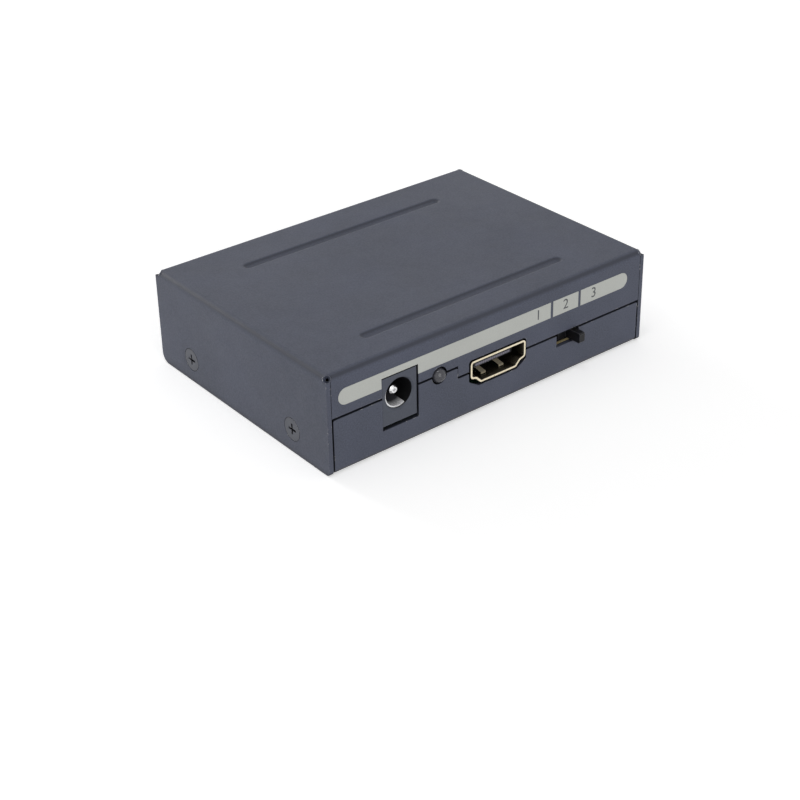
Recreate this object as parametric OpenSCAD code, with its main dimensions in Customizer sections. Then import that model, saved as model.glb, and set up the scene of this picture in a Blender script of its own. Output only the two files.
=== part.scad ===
// Audio extractor box: a folded sheet-metal case around one circuit board,
// with sockets on two opposite panels and a three-position slide switch.
// Millimetres. X runs along the panels, the input panel faces -Y,
// the output panel faces +Y and the case stands on Z = 0.

/* [Case] */
// Width of the case along the panels
case_w = 86; // [82:0.5:110]
// Depth of the case from one panel to the other
case_d = 61.2; // [54:0.2:90]
// Height of the case
case_h = 22.3; // [21:0.1:30]
// Thickness of the sheet metal
sheet_t = 1; // [0.8:0.1:1.2]
// Outer radius of the bends
bend_r = 1.5; // [1.4:0.1:2]
// Gap between the cover's flanges and the tray's flanges
seam_gap = 0.5; // [0.3:0.02:0.6]
// Width of the slits between the cover's side walls and its flanges
slit_w = 0.12; // [0.1:0.02:0.3]
// Gap between the cover's side walls and the tray
tray_gap = 0.38; // [0.2:0.02:0.5]
// Radius of the round relief hole in each top corner
relief_r = 0.86; // [0.84:0.02:1]
// Radius of the side walls' lower corners at the input panel
wall_front_r = 1; // [0.5:0.1:2]
// Radius of the side walls' lower corners at the output panel
wall_back_r = 2.2; // [0.5:0.1:3]
// Height of the side walls' lower edges above the floor
wall_lift = 0.1; // [0.05:0.05:0.5]

/* [Stiffening beads] */
// Length of each pressed bead in the top
bead_l = 54.8; // [30:0.2:70]
// Width of each bead at the surface
bead_w = 3; // [2.4:0.1:3.4]
// Depth of each bead
bead_depth = 0.55; // [0.4:0.05:0.7]
// Radius of the shoulders along a bead
bead_shoulder_r = 0.8; // [0.4:0.05:1]
// Distance from the input panel to the middle of the bead beside it
bead_from_input = 8.8; // [6:0.1:20]
// Distance from the output panel to the middle of the bead beside it
bead_from_output = 11.5; // [6:0.1:20]
// Shift of both beads along X from the middle of the case
bead_shift = -0.7; // [-4:0.1:4]

/* [Seams] */
// Height above the board of the input panel's seam beside the power socket
seam_in_high = 6.5; // [5.6:0.1:7.4]
// Height above the board of the input panel's seam beside the video socket
seam_in_low = 4; // [3.9:0.1:4.8]
// Place where the input panel's seam steps down, as a share of half the case's width
seam_step_share = -0.237; // [-0.25:0.001:-0.22]
// Height above the board of the output panel's seam outside the video socket
seam_out_low = 3.8; // [3:0.1:4.6]
// Height above the board of the output panel's seam between the video socket and the lamp
seam_out_mid = 5.8; // [5.5:0.1:5.9]
// Height above the board of the output panel's seam beside the audio sockets
seam_out_high = 6.75; // [6.7:0.05:7.4]

/* [Circuit board] */
// Thickness of the board
board_t = 1.6; // [1.2:0.1:1.6]
// Share of the free height in the case that lies under the board
standoff_share = 0.53; // [0.48:0.01:0.57]
// Outer radius of a standoff
standoff_r = 2.4; // [2:0.1:2.8]
// Distance from the board's side edges to its screws
board_screw_from_side = 3.2; // [3:0.1:4]
// Distance from the board's ends to its screws
board_screw_from_end = 15; // [14.5:0.5:18]
// Gap between the board and each panel's inner face
board_end_gap = 0.7; // [0.4:0.1:1]
// Gap between the board and the screw tabs of the tray
board_side_gap = 1.3; // [1.1:0.1:2]

/* [Case screws] */
// Radius of a countersunk head
case_head_r = 2.5; // [2.2:0.1:2.8]
// Radius of the screw's shank
case_shank_r = 1.2; // [1:0.05:1.3]
// Length of a case screw over all
case_screw_l = 2.9; // [2.5:0.1:3.1]
// Distance from a panel to the screw beside it
case_screw_from_panel = 12.2; // [10:0.1:18]
// Height of the case screws above the floor
case_screw_z = 5.4; // [5:0.1:5.8]
// Length of each screw tab of the tray
tab_l = 11; // [8:0.5:14]
// Height of the screw tabs
tab_h = 8.4; // [7.6:0.1:10]

/* [Power socket] */
// Place of the power socket, as a share of half the case's width
dc_place_share = -0.588; // [-0.62:0.002:-0.55]
// Width of the power socket
dc_w = 8.6; // [8.4:0.1:9]
// Height of the power socket above the board
dc_h = 10.8; // [10.4:0.1:11.4]
// Depth of the power socket
dc_d = 14; // [12:0.5:15]
// Height of the socket's axis above the board
dc_axis_h = 6.2; // [6:0.1:6.6]
// Radius of the plug's bore
dc_bore_r = 3.35; // [3:0.05:3.4]
// Radius of the centre pin
dc_pin_r = 1; // [0.8:0.05:1.25]
// Distance from the socket's face to the tip of its pin
dc_pin_recess = 1.7; // [1:0.1:3]

/* [Video sockets] */
// Place of the input video socket, as a share of half the case's width
video_in_place_share = 0.016; // [0:0.002:0.07]
// Place of the output video socket, as a share of half the case's width
video_out_place_share = 0.591; // [0.56:0.001:0.61]
// Outer width of the shell
video_w = 15.1; // [14.6:0.1:15.2]
// Outer height of the shell
video_h = 5.6; // [5.4:0.05:5.8]
// Width of the shell's narrow lower side
video_foot_w = 9.7; // [9:0.1:10.5]
// Height of the ledge at each lower corner
video_ledge_h = 1.65; // [1.4:0.05:1.9]
// Width of the ledge at each lower corner
video_ledge_w = 1.4; // [1.1:0.05:1.6]
// Fall of each ledge towards the foot
video_ledge_fall = 0.35; // [0.2:0.05:0.5]
// Thickness of the shell's sheet
video_sheet = 0.42; // [0.3:0.02:0.5]
// Height of the shell's lower side above the board
video_lift = 0.8; // [0.5:0.05:1]
// Depth of the shell
video_d = 11; // [10:0.5:13]
// How far the shell stands out of the panel
video_out = 0.15; // [0.05:0.05:0.4]

/* [Lamps] */
// Place of the input lamp, as a share of half the case's width
lamp_in_place_share = -0.35; // [-0.36:0.001:-0.34]
// Place of the output lamp, as a share of half the case's width
lamp_out_place_share = 0.321; // [0.314:0.001:0.334]
// Radius of a lamp
lamp_r = 1.6; // [1.4:0.05:1.7]
// Radius of the hole in front of a lamp
lamp_hole_r = 1.95; // [1.85:0.05:2.1]
// How far a lamp stands out of the panel
lamp_out = 1.2; // [0.8:0.1:1.5]
// Height of the lamps' axes above the board
lamp_axis_h = 6.4; // [6:0.1:6.6]

/* [Slide switch] */
// Place of the switch's middle, as a share of half the case's width
switch_place_share = 0.479; // [0.44:0.001:0.56]
// Travel of the knob from its first to its last position
switch_travel = 4; // [3:0.1:4.4]
// Width of the knob
knob_w = 1.5; // [1.2:0.1:1.8]
// Height of the knob
knob_h = 2.3; // [1.8:0.1:2.4]
// How far the knob stands out of the panel
knob_out = 2.4; // [1.5:0.1:4]
// Height of the knob's middle above the board
knob_axis_h = 2.5; // [2.4:0.05:2.6]
// Free length of the panel slot on each side of the knob
slot_play = 0.5; // [0.3:0.05:0.8]

/* [Optical socket] */
// Place of the optical socket, as a share of half the case's width
optical_place_share = 0.1245; // [0.116:0.0005:0.135]
// Width of the optical socket
optical_w = 9.2; // [9:0.1:9.7]
// Depth of the optical socket
optical_d = 13.5; // [12.5:0.5:15]
// Height of the socket's nose above the board at its lower side
optical_nose_low = 2.2; // [1.8:0.1:2.6]
// Height of the socket's top above the board
optical_top_h = 12; // [11.8:0.1:12.4]
// Width of the shutter's opening
shutter_w = 6.4; // [6:0.1:6.8]
// Thickness of the shutter
shutter_t = 0.9; // [0.8:0.05:1.1]
// Radius of the shutter's hinge barrel
shutter_barrel_r = 0.65; // [0.6:0.05:0.75]
// Radius of the shutter's hinge pin
shutter_pin_r = 0.3; // [0.25:0.01:0.35]
// Running clearance of the hinge pin
shutter_pin_gap = 0.05; // [0.03:0.01:0.08]
// Height of the light's axis above the board
optical_axis_h = 6.3; // [6:0.1:6.6]

/* [Audio sockets] */
// Place of the right-channel socket, as a share of half the case's width
audio_place_share = -0.229; // [-0.244:0.001:-0.221]
// Distance between the two sockets
audio_pitch = 14.15; // [13.8:0.05:15]
// Height of the sockets' axes above the board
audio_axis_h = 6.55; // [6.4:0.05:6.8]
// Outer radius of a socket's metal ring
audio_ring_r = 4.25; // [4.1:0.05:4.3]
// Radius of a socket's plastic barrel
audio_barrel_r = 4; // [3.9:0.05:4.05]
// Radius of a socket's coloured insert
audio_insert_r = 3.15; // [2.9:0.05:3.2]
// Radius of the bore for the plug's pin
audio_bore_r = 1.6; // [1.5:0.05:1.7]
// How far a socket stands out of the panel
audio_out = 5.2; // [4:0.1:9]
// Length of the metal ring
audio_ring_l = 2.6; // [2.2:0.1:3.4]

/* [Hidden] */
$fn = 64;

// Overrun of every cut
over = 1;
// Clearance between pieces that are pressed or glued together
fit = 0.03;
// Steps of a rounded corner in an outline
corner_steps = 6;

// Frame of the whole part: the origin lies under the middle of the outer box
total_d = knob_out + case_d + audio_out;
front_y = knob_out - total_d / 2;
back_y = front_y + case_d;
mid_y = front_y + case_d / 2;
half_w = case_w / 2;
inner_x = half_w - sheet_t;
flange_x = inner_x - tray_gap;
tab_inner_x = flange_x - sheet_t;

// Places of the sockets, the lamps and the switch along X
dc_x = half_w * dc_place_share;
lamp_in_x = half_w * lamp_in_place_share;
seam_step_x = half_w * seam_step_share;
video_in_x = half_w * video_in_place_share;
switch_x = half_w * switch_place_share;
video_out_x = half_w * video_out_place_share;
lamp_out_x = half_w * lamp_out_place_share;
optical_x = half_w * optical_place_share;
audio_right_x = half_w * audio_place_share;

// Board: what the board and the tallest socket leave free is split between its two sides
free_h = case_h - 2 * sheet_t - board_t - optical_top_h;
standoff_h = free_h * standoff_share;
board_z = sheet_t + standoff_h;
board_top = board_z + board_t;
board_half_w = tab_inner_x - board_side_gap;
board_half_d = case_d / 2 - sheet_t - board_end_gap;
board_screw_x = board_half_w - board_screw_from_side;
board_screw_y = board_half_d - board_screw_from_end;
board_hole_r = 1.45;
board_shank_r = 1.2;
board_head_r = 2.2;
board_head_h = 1.5;
cross_w = 0.5;
cross_depth = 0.8;
cross_end_share = 0.35;

// Case screws
case_head_land = 0.15;
case_rim_gap = 0.12;
case_cross_r = 1.3;

// Cut-outs in the panels
socket_gap = 0.24;
video_gap = 0.35;
video_gap_below = 0.65;
dc_gap_below = 0.9;
dc_gap_above = 0.28;
dc_gap_side = 0.28;
dc_cut_shift = 0.22;
seam_step_gap = 0.12;
audio_hole_gap = 0.3;
audio_hole_r = audio_ring_r + audio_hole_gap;
flange_corner_r = 0.35;
tray_corner_w = 1;
tray_corner_h = 0.55;

// Power socket
dc_recess = 0.05;
dc_face_d = 3.4;
dc_lip = 0.35;
dc_bore_d = 9.6;
dc_contact_t = 0.3;
dc_contact_l = 7;
dc_contact_lean = 1.1;
dc_contact_recess = 0.7;
dc_contact_start = 150;
dc_contact_sweep = 150;
dc_pin_hole_r = 0.3;
dc_pin_hole_d = 0.6;
dc_blade_w = 2;
dc_blade_t = 0.5;
blade_drop = 0.9;
board_slot_gap = 0.2;

// Video sockets
video_corner_r = 0.8;
video_insert_from = 8.4;
video_foot_d = 1.2;
tongue_w = 10.4;
tongue_t = 1.1;
tongue_h = 2.75;
tongue_from = 1.7;
contact_pitch = 1;
contact_w = 0.5;
contact_t = 0.12;
contact_recess = 0.15;
finger_w = 1.3;
finger_l = 4.4;
finger_from = 1.5;
finger_rise = 0.75;
finger_x = 2.45;
video_leg_w = 1.4;
video_leg_share = [0.18, 0.8];

// Lamps
lamp_barrel_l = 4.8;
lamp_rim_r = 1.9;
lamp_rim_l = 1;
lamp_lead_w = 0.5;
lamp_lead_pitch = 2.54;
lamp_lead_run = 2;

// Slide switch
switch_gap = 0.2;
switch_sheet = 0.4;
switch_panel_gap = 0.3;
switch_shoulder = 2.2;
switch_block_d = 1.7;
switch_block_h = 3.6;
switch_base_d = 1.6;
switch_h = 5.2;
switch_leg_w = 1.2;
slider_w = knob_w + 2 * switch_shoulder;
switch_inner_w = slider_w + switch_travel + 2 * switch_gap;
slot_w = knob_w + switch_travel + 2 * slot_play;
slot_gap_below = 0.3;
slot_low = board_top + knob_axis_h - knob_h / 2 - slot_gap_below;
knob_rest_x = switch_x + switch_travel / 2;
switch_front = sheet_t + switch_panel_gap;
switch_block_from = switch_front + switch_sheet + switch_gap;
switch_base_from = switch_block_from + switch_block_d + switch_gap;
switch_d = switch_base_from + switch_base_d - switch_front;

// Optical socket
optical_recess = 0.05;
shutter_gap = 0.15;
shutter_recess = 0.2;
optical_cavity_d = 10.2;
optical_floor = 1;
optical_ceiling = 0.4;
optical_cavity_low = optical_nose_low + optical_floor;
optical_cavity_top = optical_top_h - optical_ceiling;
shutter_chamfer = 0.9;
shutter_axis_h = optical_cavity_top - shutter_gap - shutter_barrel_r;
shutter_axis_y = optical_recess + shutter_recess + shutter_barrel_r;
latch_r = 0.75;
emitter_r = 1.5;
emitter_l = 2;
emitter_block = 5.4;
emitter_block_d = 2.4;
optical_back_wall = 0.9;
emitter_from = optical_cavity_d + optical_back_wall + fit;
shutter_groove_w = 0.35;
shutter_groove_depth = 0.2;
shutter_groove_x = 0.95;
shutter_groove_l = 5.6;
shutter_slot_x = -0.2;
shutter_slot_w = 2.8;
shutter_slot_h = 0.35;

// Audio sockets
audio_lip_r = 0.85;
audio_nose_step = 0.35;
audio_nose_r = audio_barrel_r - audio_nose_step;
audio_body_gap = 0.2;
audio_body_d = 9.4;
audio_body_margin = 1.25;
audio_body_r = audio_barrel_r + audio_body_margin;
audio_insert_recess = 0.3;
audio_insert_l = 6.5;
audio_bore_l = 4.5;
audio_dish = 0.35;
audio_contact_l = 6;
audio_contact_wall = 0.35;
audio_xs = [audio_right_x, audio_right_x - audio_pitch];

// Parts on the board: places as shares of the board's half sizes
video_chip_place_share = [0.05, 0.05];
audio_chip_place_share = [-0.42, 0.1];
regulator_place_share = [-0.72, -0.15];
crystal_place_share = [0.2, -0.38];
inductor_place_share = [-0.4, -0.3];
capacitor_places_share = [[-0.68, 0.12], [0.66, -0.2], [0.66, 0.04]];
video_chip_w = 14;
video_chip_h = 1.4;
chip_lead_w = 0.3;
chip_lead_l = 1;
chip_lead_pitch = 0.8;
audio_chip_w = 4;
audio_chip_l = 9;
audio_chip_h = 1.6;
regulator_w = 6.5;
regulator_l = 3.5;
regulator_h = 1.7;
crystal_w = 5;
crystal_l = 3.2;
crystal_h = 0.9;
inductor_w = 7;
inductor_h = 3.4;
inductor_round_share = 0.62;
capacitor_r = 2.5;
capacitor_h = 5.6;
capacitor_base_h = 0.9;

// Outlines

function unit(v) = v / norm(v);

// Arc of radius r that rounds the corner b between a and c
function corner(a, b, c, r) =
    let (u = unit(a - b), v = unit(c - b), turn = acos(u * v), reach = r / tan(turn / 2),
         mid = b + unit(u + v) * r / sin(turn / 2), p = b + u * reach - mid, q = b + v * reach - mid,
         from = atan2(p.y, p.x), raw = atan2(q.y, q.x) - from,
         sweep = raw > 180 ? raw - 360 : raw < -180 ? raw + 360 : raw)
    [for (i = [0:corner_steps]) let (a = from + sweep * i / corner_steps) mid + r * [cos(a), sin(a)]];

// Outline with every corner rounded by r
function rounded(points, r) =
    let (n = len(points))
    [for (i = [0:n - 1]) each corner(points[(i + n - 1) % n], points[i], points[(i + 1) % n], r)];

// Counter-clockwise outline moved inwards by t
function inset(points, t) =
    let (n = len(points))
    [for (i = [0:n - 1])
        let (u = unit(points[i] - points[(i + n - 1) % n]), v = unit(points[(i + 1) % n] - points[i]),
             a = [-u.y, u.x], b = [-v.y, v.x])
        points[i] + (a + b) * t / (1 + a * b)];

// Video socket: wide top, narrow foot and a ledge at each lower corner
video_points = [
    [-video_foot_w / 2, 0], [video_foot_w / 2, 0],
    [video_w / 2 - video_ledge_w, video_ledge_h - video_ledge_fall], [video_w / 2, video_ledge_h],
    [video_w / 2, video_h], [-video_w / 2, video_h],
    [-video_w / 2, video_ledge_h], [-video_w / 2 + video_ledge_w, video_ledge_h - video_ledge_fall],
];

// Cut-out around the video socket: plain slanted corners
video_cut_points = let (g = video_gap, w = video_w / 2 + g, low = -video_gap_below) [
    [-video_foot_w / 2 - g, low], [video_foot_w / 2 + g, low], [w, video_ledge_h - 2 * g],
    [w, video_h + g], [-w, video_h + g], [-w, video_ledge_h - 2 * g],
];

// Panel zone under a stepped seam. steps holds [x, z] pairs from -X to +X:
// each z holds up to its x. grow moves the seam up, step moves its upright parts
// outwards, reach is the zone's half width.
function seam_points(steps, grow, step, reach) =
    let (n = len(steps))
    concat(
        [[reach, -over], [reach, steps[n - 1].y + grow]],
        [for (i = [n - 2:-1:0])
            let (side = steps[i].y > steps[i + 1].y ? step : -step)
            each [[steps[i].x + side, steps[i + 1].y + grow], [steps[i].x + side, steps[i].y + grow]]],
        [[-reach, steps[0].y + grow], [-reach, -over]]
    );

seam_in = [[seam_step_x, board_top + seam_in_high], [half_w, board_top + seam_in_low]];
seam_out = [
    [lamp_out_x, board_top + seam_out_high],
    [video_out_x, board_top + seam_out_mid],
    [half_w, board_top + seam_out_low],
];

// Places and small shared shapes

module on_input(x) {
    translate([x, front_y, board_top]) children();
}

module on_output(x) {
    translate([x, back_y, board_top]) rotate(180) children();
}

// Extrudes an X-Z outline along +Y
module prism(from, to) {
    translate([0, to, 0]) rotate([90, 0, 0]) linear_extrude(to - from) children();
}

module rod(r, from, to) {
    translate([0, from, 0]) rotate([-90, 0, 0]) cylinder(h = to - from, r = r);
}

// Box given by its middle in X, its start in Y and Z
module block(w, d, h, y = 0, z = 0) {
    translate([-w / 2, y, z]) cube([w, d, h]);
}

// Turned shape around the Y axis from [radius, y] points
module turned(points) {
    rotate([-90, 0, 0]) rotate_extrude() polygon(points);
}

module four_corners(x, y) {
    for (sx = [-1, 1], sy = [-1, 1]) translate([sx * x, mid_y + sy * y, 0]) children();
}

// Rectangle standing on the X axis with round upper corners
module arch(w, h, r) {
    translate([-w / 2, 0]) square([w, h - r]);
    translate([r - w / 2, 0]) square([w - 2 * r, h]);
    for (side = [-1, 1]) translate([side * (w / 2 - r), h - r]) circle(r);
}

// Box with bends of radius r along its four upper edges
module folded_box(w, d, h, r) {
    intersection() {
        prism(-d / 2, d / 2) arch(w, h, r);
        rotate(90) prism(-w / 2, w / 2) arch(d, h, r);
    }
}

// Cross recess cut downwards from the head's face at Z = 0, narrowing to its bottom
module cross_recess(r) {
    intersection() {
        for (turn = [0, 90]) rotate(turn) translate([-r, -cross_w / 2, -cross_depth])
            cube([2 * r, cross_w, cross_depth + over]);
        union() {
            translate([0, 0, -cross_depth]) cylinder(h = cross_depth, r1 = r * cross_end_share, r2 = r);
            cylinder(h = over, r = r);
        }
    }
}

// Openings that both shells share

module input_openings() {
    on_input(dc_x + dc_cut_shift) block(dc_w + 2 * dc_gap_side, sheet_t + 2 * over,
        dc_h + dc_gap_above + dc_gap_below, -over, -dc_gap_below);
    on_input(lamp_in_x) translate([0, 0, lamp_axis_h]) rod(lamp_hole_r, -over, sheet_t + over);
    on_input(video_in_x) translate([0, 0, video_lift])
        prism(-over, sheet_t + over) polygon(rounded(video_cut_points, video_corner_r));
}

module output_openings() {
    on_output(video_out_x) translate([0, 0, video_lift])
        prism(-over, sheet_t + over) polygon(rounded(video_cut_points, video_corner_r));
    on_output(lamp_out_x) translate([0, 0, lamp_axis_h]) rod(lamp_hole_r, -over, sheet_t + over);
    on_output(optical_x) block(optical_w + 2 * socket_gap, sheet_t + 2 * over,
        optical_top_h - optical_nose_low + 2 * socket_gap, -over, optical_nose_low - socket_gap);
    for (x = audio_xs) on_output(x) translate([0, 0, audio_axis_h]) rod(audio_hole_r, -over, sheet_t + over);
}

// Countersunk screw that points to -X, with its head's face at X = 0
module case_screw_shape(grow) {
    rotate([0, -90, 0]) {
        cylinder(h = case_screw_l, r = case_shank_r + grow);
        cylinder(h = case_head_land, r = case_head_r + grow);
        translate([0, 0, case_head_land])
            cylinder(h = case_head_r - case_shank_r, r1 = case_head_r + grow, r2 = case_shank_r + grow);
    }
}

// Hole for a case screw, with a rim a little wider than the head
module case_screw_hole() {
    case_screw_shape(fit);
    rotate([0, -90, 0]) translate([0, 0, -over])
        cylinder(h = case_head_land + over, r = case_head_r + case_rim_gap);
}

module at_case_screws() {
    for (side = [0, 180], end = [-1, 1])
        translate([0, mid_y, case_screw_z]) rotate(side)
            translate([half_w, end * (case_d / 2 - case_screw_from_panel), 0]) children();
}

// Section of a bead: a round bottom that runs into round shoulders at the top face, Y = 0
bead_sum_r = (pow(bead_w / 2, 2) + pow(bead_depth, 2)) / (2 * bead_depth);
bead_bottom_r = bead_sum_r - bead_shoulder_r;
bead_mid_h = bead_bottom_r - bead_depth;

module bead_section() {
    tangent_h = bead_shoulder_r / bead_sum_r * (bead_mid_h + bead_shoulder_r) - bead_shoulder_r;
    translate([0, bead_mid_h]) circle(bead_bottom_r);
    difference() {
        translate([-bead_w / 2, tangent_h]) square([bead_w, over]);
        for (side = [-1, 1]) translate([side * bead_w / 2, -bead_shoulder_r]) circle(bead_shoulder_r);
    }
}

// Runs a section along both beads and around their ends
module along_beads() {
    run = bead_l / 2 - bead_w / 2;
    for (y = [front_y + bead_from_input, back_y - bead_from_output]) translate([bead_shift, y, case_h]) {
        rotate([90, 0, 90]) linear_extrude(2 * run, center = true) children();
        for (tip = [-1, 1]) translate([tip * run, 0, 0]) rotate_extrude() intersection() {
            children();
            translate([0, -bead_w]) square([bead_w, 2 * bead_w + over]);
        }
    }
}

// Case

// Cuts the lower corner of both side walls at Y = 0 round
module wall_corner_cut(r) {
    difference() {
        translate([-half_w - over, -over, -over]) cube([case_w + 2 * over, r + over, r + over]);
        translate([0, r, r]) rotate([0, 90, 0]) cylinder(h = case_w + 4 * over, r = r, center = true);
    }
}

module top_cover() color([0.34, 0.36, 0.4]) {
    difference() {
        union() {
            difference() {
                translate([0, mid_y, 0]) folded_box(case_w, case_d, case_h, bend_r);
                translate([0, mid_y, -over]) folded_box(case_w - 2 * sheet_t, case_d - 2 * sheet_t,
                    case_h - sheet_t + over, bend_r - sheet_t);
            }
            // The pressed beads stand proud inside
            intersection() {
                along_beads() translate([0, bead_mid_h]) circle(bead_bottom_r + sheet_t);
                translate([0, mid_y, 0]) folded_box(case_w, case_d, case_h, bend_r);
            }
        }
        along_beads() bead_section();
        // The flanges end above the stepped seams
        translate([0, front_y, 0]) prism(-over, sheet_t)
            polygon(seam_points(seam_in, seam_gap / 2, seam_step_gap / 2, inner_x));
        translate([0, back_y, 0]) prism(-sheet_t, over)
            polygon(seam_points(seam_out, seam_gap / 2, seam_step_gap / 2, inner_x));
        // Slits beside the flanges and round reliefs where three bends meet
        for (sx = [-1, 1], sy = [-1, 1]) {
            translate([sx * (inner_x - slit_w / 2), mid_y + sy * (case_d - sheet_t) / 2, 0])
                cube([slit_w, sheet_t + fit, 2 * (case_h - sheet_t)], center = true);
            translate([sx * half_w, mid_y + sy * case_d / 2, case_h])
                rotate([0, acos(1 / sqrt(3)), atan2(sy, sx)])
                    cylinder(h = 4 * bend_r, r = relief_r, center = true);
        }
        // Lower edges of the side walls with their round corners
        translate([0, mid_y, (wall_lift - over) / 2])
            cube([case_w + over, case_d + over, over + wall_lift], center = true);
        translate([0, front_y, wall_lift]) wall_corner_cut(wall_front_r);
        translate([0, back_y, wall_lift]) rotate(180) wall_corner_cut(wall_back_r);
        input_openings();
        output_openings();
        at_case_screws() case_screw_hole();
    }
}

module tray_flange(steps, y) {
    translate([0, y, 0]) prism(0, sheet_t)
        polygon(rounded(seam_points(steps, -seam_gap / 2, -seam_step_gap / 2, flange_x),
            flange_corner_r));
}

module bottom_tray() color([0.33, 0.35, 0.39]) {
    difference() {
        union() {
            // Plate and panel flanges folded from one strip
            intersection() {
                translate([0, mid_y, case_h]) rotate([180, 0, 0])
                    rotate(90) prism(-flange_x, flange_x) difference() {
                        arch(case_d, case_h, bend_r);
                        translate([0, -over])
                            arch(case_d - 2 * sheet_t, case_h - sheet_t + over, bend_r - sheet_t);
                    }
                union() {
                    tray_flange(seam_in, front_y);
                    tray_flange(seam_out, back_y - sheet_t);
                    translate([0, mid_y, 0])
                        cube([2 * flange_x, case_d - 2 * sheet_t, 2 * case_h], center = true);
                }
            }
            // Screw tabs folded up along the side walls
            for (end = [-1, 1])
                translate([0, mid_y + end * (case_d / 2 - case_screw_from_panel), tab_h]) rotate([180, 0, 0])
                    prism(-tab_l / 2, tab_l / 2) difference() {
                        arch(2 * flange_x, tab_h, bend_r);
                        translate([0, -over]) arch(2 * tab_inner_x, tab_h - sheet_t + over, bend_r - sheet_t);
                    }
        }
        // Cut corners where the flange bends end
        for (side = [0, 1], y = [front_y, back_y - bend_r]) mirror([side, 0, 0]) translate([0, y, 0])
            prism(-over, bend_r + over) polygon([
                [flange_x - tray_corner_w, -over], [flange_x + over, -over], [flange_x + over, tray_corner_h],
                [flange_x, tray_corner_h], [flange_x - tray_corner_w, 0],
            ]);
        // Slot of the slide switch, open at the seam
        translate([switch_x, front_y, 0]) block(slot_w, sheet_t + 2 * over, case_h, -over, slot_low);
        input_openings();
        output_openings();
        at_case_screws() case_screw_hole();
    }
}

module case_screws() color([0.12, 0.12, 0.13]) {
    at_case_screws() difference() {
        case_screw_shape(0);
        rotate([0, 90, 0]) cross_recess(case_cross_r);
    }
}

// Board and its carriers

module standoffs() color([0.75, 0.75, 0.72]) {
    four_corners(board_screw_x, board_screw_y) translate([0, 0, sheet_t]) difference() {
        cylinder(h = standoff_h, r = standoff_r);
        translate([0, 0, -over]) cylinder(h = standoff_h + 2 * over, r = board_shank_r + fit);
    }
}

module board_slot(w, d, x, y) {
    translate([x - w / 2 - board_slot_gap, y - d / 2 - board_slot_gap, -board_t - over])
        cube([w + 2 * board_slot_gap, d + 2 * board_slot_gap, board_t + 2 * over]);
}

module video_slots() {
    for (sx = [-1, 1], share = video_leg_share)
        board_slot(video_sheet, video_leg_w, sx * (video_w - video_sheet) / 2, share * video_d);
}

module main_board() color([0.05, 0.3, 0.16]) {
    difference() {
        translate([0, mid_y, board_z + board_t / 2])
            cube([2 * board_half_w, 2 * board_half_d, board_t], center = true);
        four_corners(board_screw_x, board_screw_y) translate([0, 0, board_z - over])
            cylinder(h = board_t + 2 * over, r = board_hole_r);
        on_input(video_in_x) video_slots();
        on_output(video_out_x) video_slots();
        on_input(dc_x) for (place = dc_blades()) board_slot(dc_blade_w, dc_blade_t, place.x, place.y);
        on_input(lamp_in_x) lamp_slots();
        on_output(lamp_out_x) lamp_slots();
        on_input(switch_x) for (sx = [-1, 1]) board_slot(switch_sheet, switch_leg_w,
            sx * (switch_inner_w + switch_sheet) / 2, switch_front + switch_d / 2);
    }
}

module board_screws() color([0.7, 0.7, 0.68]) {
    four_corners(board_screw_x, board_screw_y) translate([0, 0, board_top]) difference() {
        union() {
            cylinder(h = board_head_h, r = board_head_r);
            translate([0, 0, sheet_t - board_top]) cylinder(h = board_top, r = board_shank_r);
        }
        translate([0, 0, board_head_h]) cross_recess(board_head_r / 2);
    }
}

// Power socket

function dc_blades() = [[0, dc_d - dc_blade_t], [0, dc_d / 2]];

module dc_jack_body() color([0.2, 0.21, 0.23]) on_input(dc_x) {
    difference() {
        union() {
            block(dc_w, dc_face_d, dc_h, dc_recess);
            // Behind its face the socket is a half-round hood on a base
            block(dc_w, dc_d - dc_recess, dc_axis_h, dc_recess);
            translate([0, 0, dc_axis_h]) rod(dc_w / 2, dc_face_d, dc_d);
        }
        translate([0, 0, dc_axis_h]) {
            rod(dc_bore_r, -over, dc_bore_d);
            turned([[0, -over], [dc_bore_r + dc_lip, -over], [dc_bore_r + dc_lip, dc_recess],
                [dc_bore_r, dc_recess + dc_lip], [0, dc_recess + dc_lip]]);
            rod(dc_pin_r + fit, dc_bore_d - over, dc_d + over);
        }
        for (place = dc_blades()) translate([place.x, place.y - dc_blade_t / 2 - fit, 0])
            block(dc_blade_w + 2 * fit, dc_blade_t + 2 * fit, dc_blade_t + over, 0, -over);
    }
}

module dc_jack_pin() color([0.85, 0.85, 0.86]) on_input(dc_x) translate([0, 0, dc_axis_h]) {
    tip = dc_pin_r / 3;
    turned([[0, dc_pin_recess + dc_pin_hole_d], [dc_pin_hole_r, dc_pin_recess + dc_pin_hole_d],
        [dc_pin_hole_r, dc_pin_recess], [dc_pin_r - tip, dc_pin_recess],
        [dc_pin_r, dc_pin_recess + tip], [dc_pin_r, dc_d - fit], [0, dc_d - fit]]);
}

// Leaf that presses on the plug's sleeve: it leans inwards from the bore's mouth
module dc_jack_contact() color([0.85, 0.85, 0.86]) on_input(dc_x) translate([0, dc_contact_recess, dc_axis_h])
    rotate([90, 0, 0]) mirror([0, 0, 1]) rotate(dc_contact_start) rotate_extrude(angle = dc_contact_sweep)
        translate([dc_bore_r - fit - dc_contact_t, 0]) polygon([[0, 0], [dc_contact_t, 0],
            [dc_contact_t - dc_contact_lean, dc_contact_l], [-dc_contact_lean, dc_contact_l]]);

module dc_jack_terminals() color([0.8, 0.8, 0.78]) on_input(dc_x) {
    for (place = dc_blades()) translate([place.x, place.y - dc_blade_t / 2, -board_t - blade_drop])
        block(dc_blade_w, dc_blade_t, board_t + blade_drop + dc_blade_t);
}

// Video sockets

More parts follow.
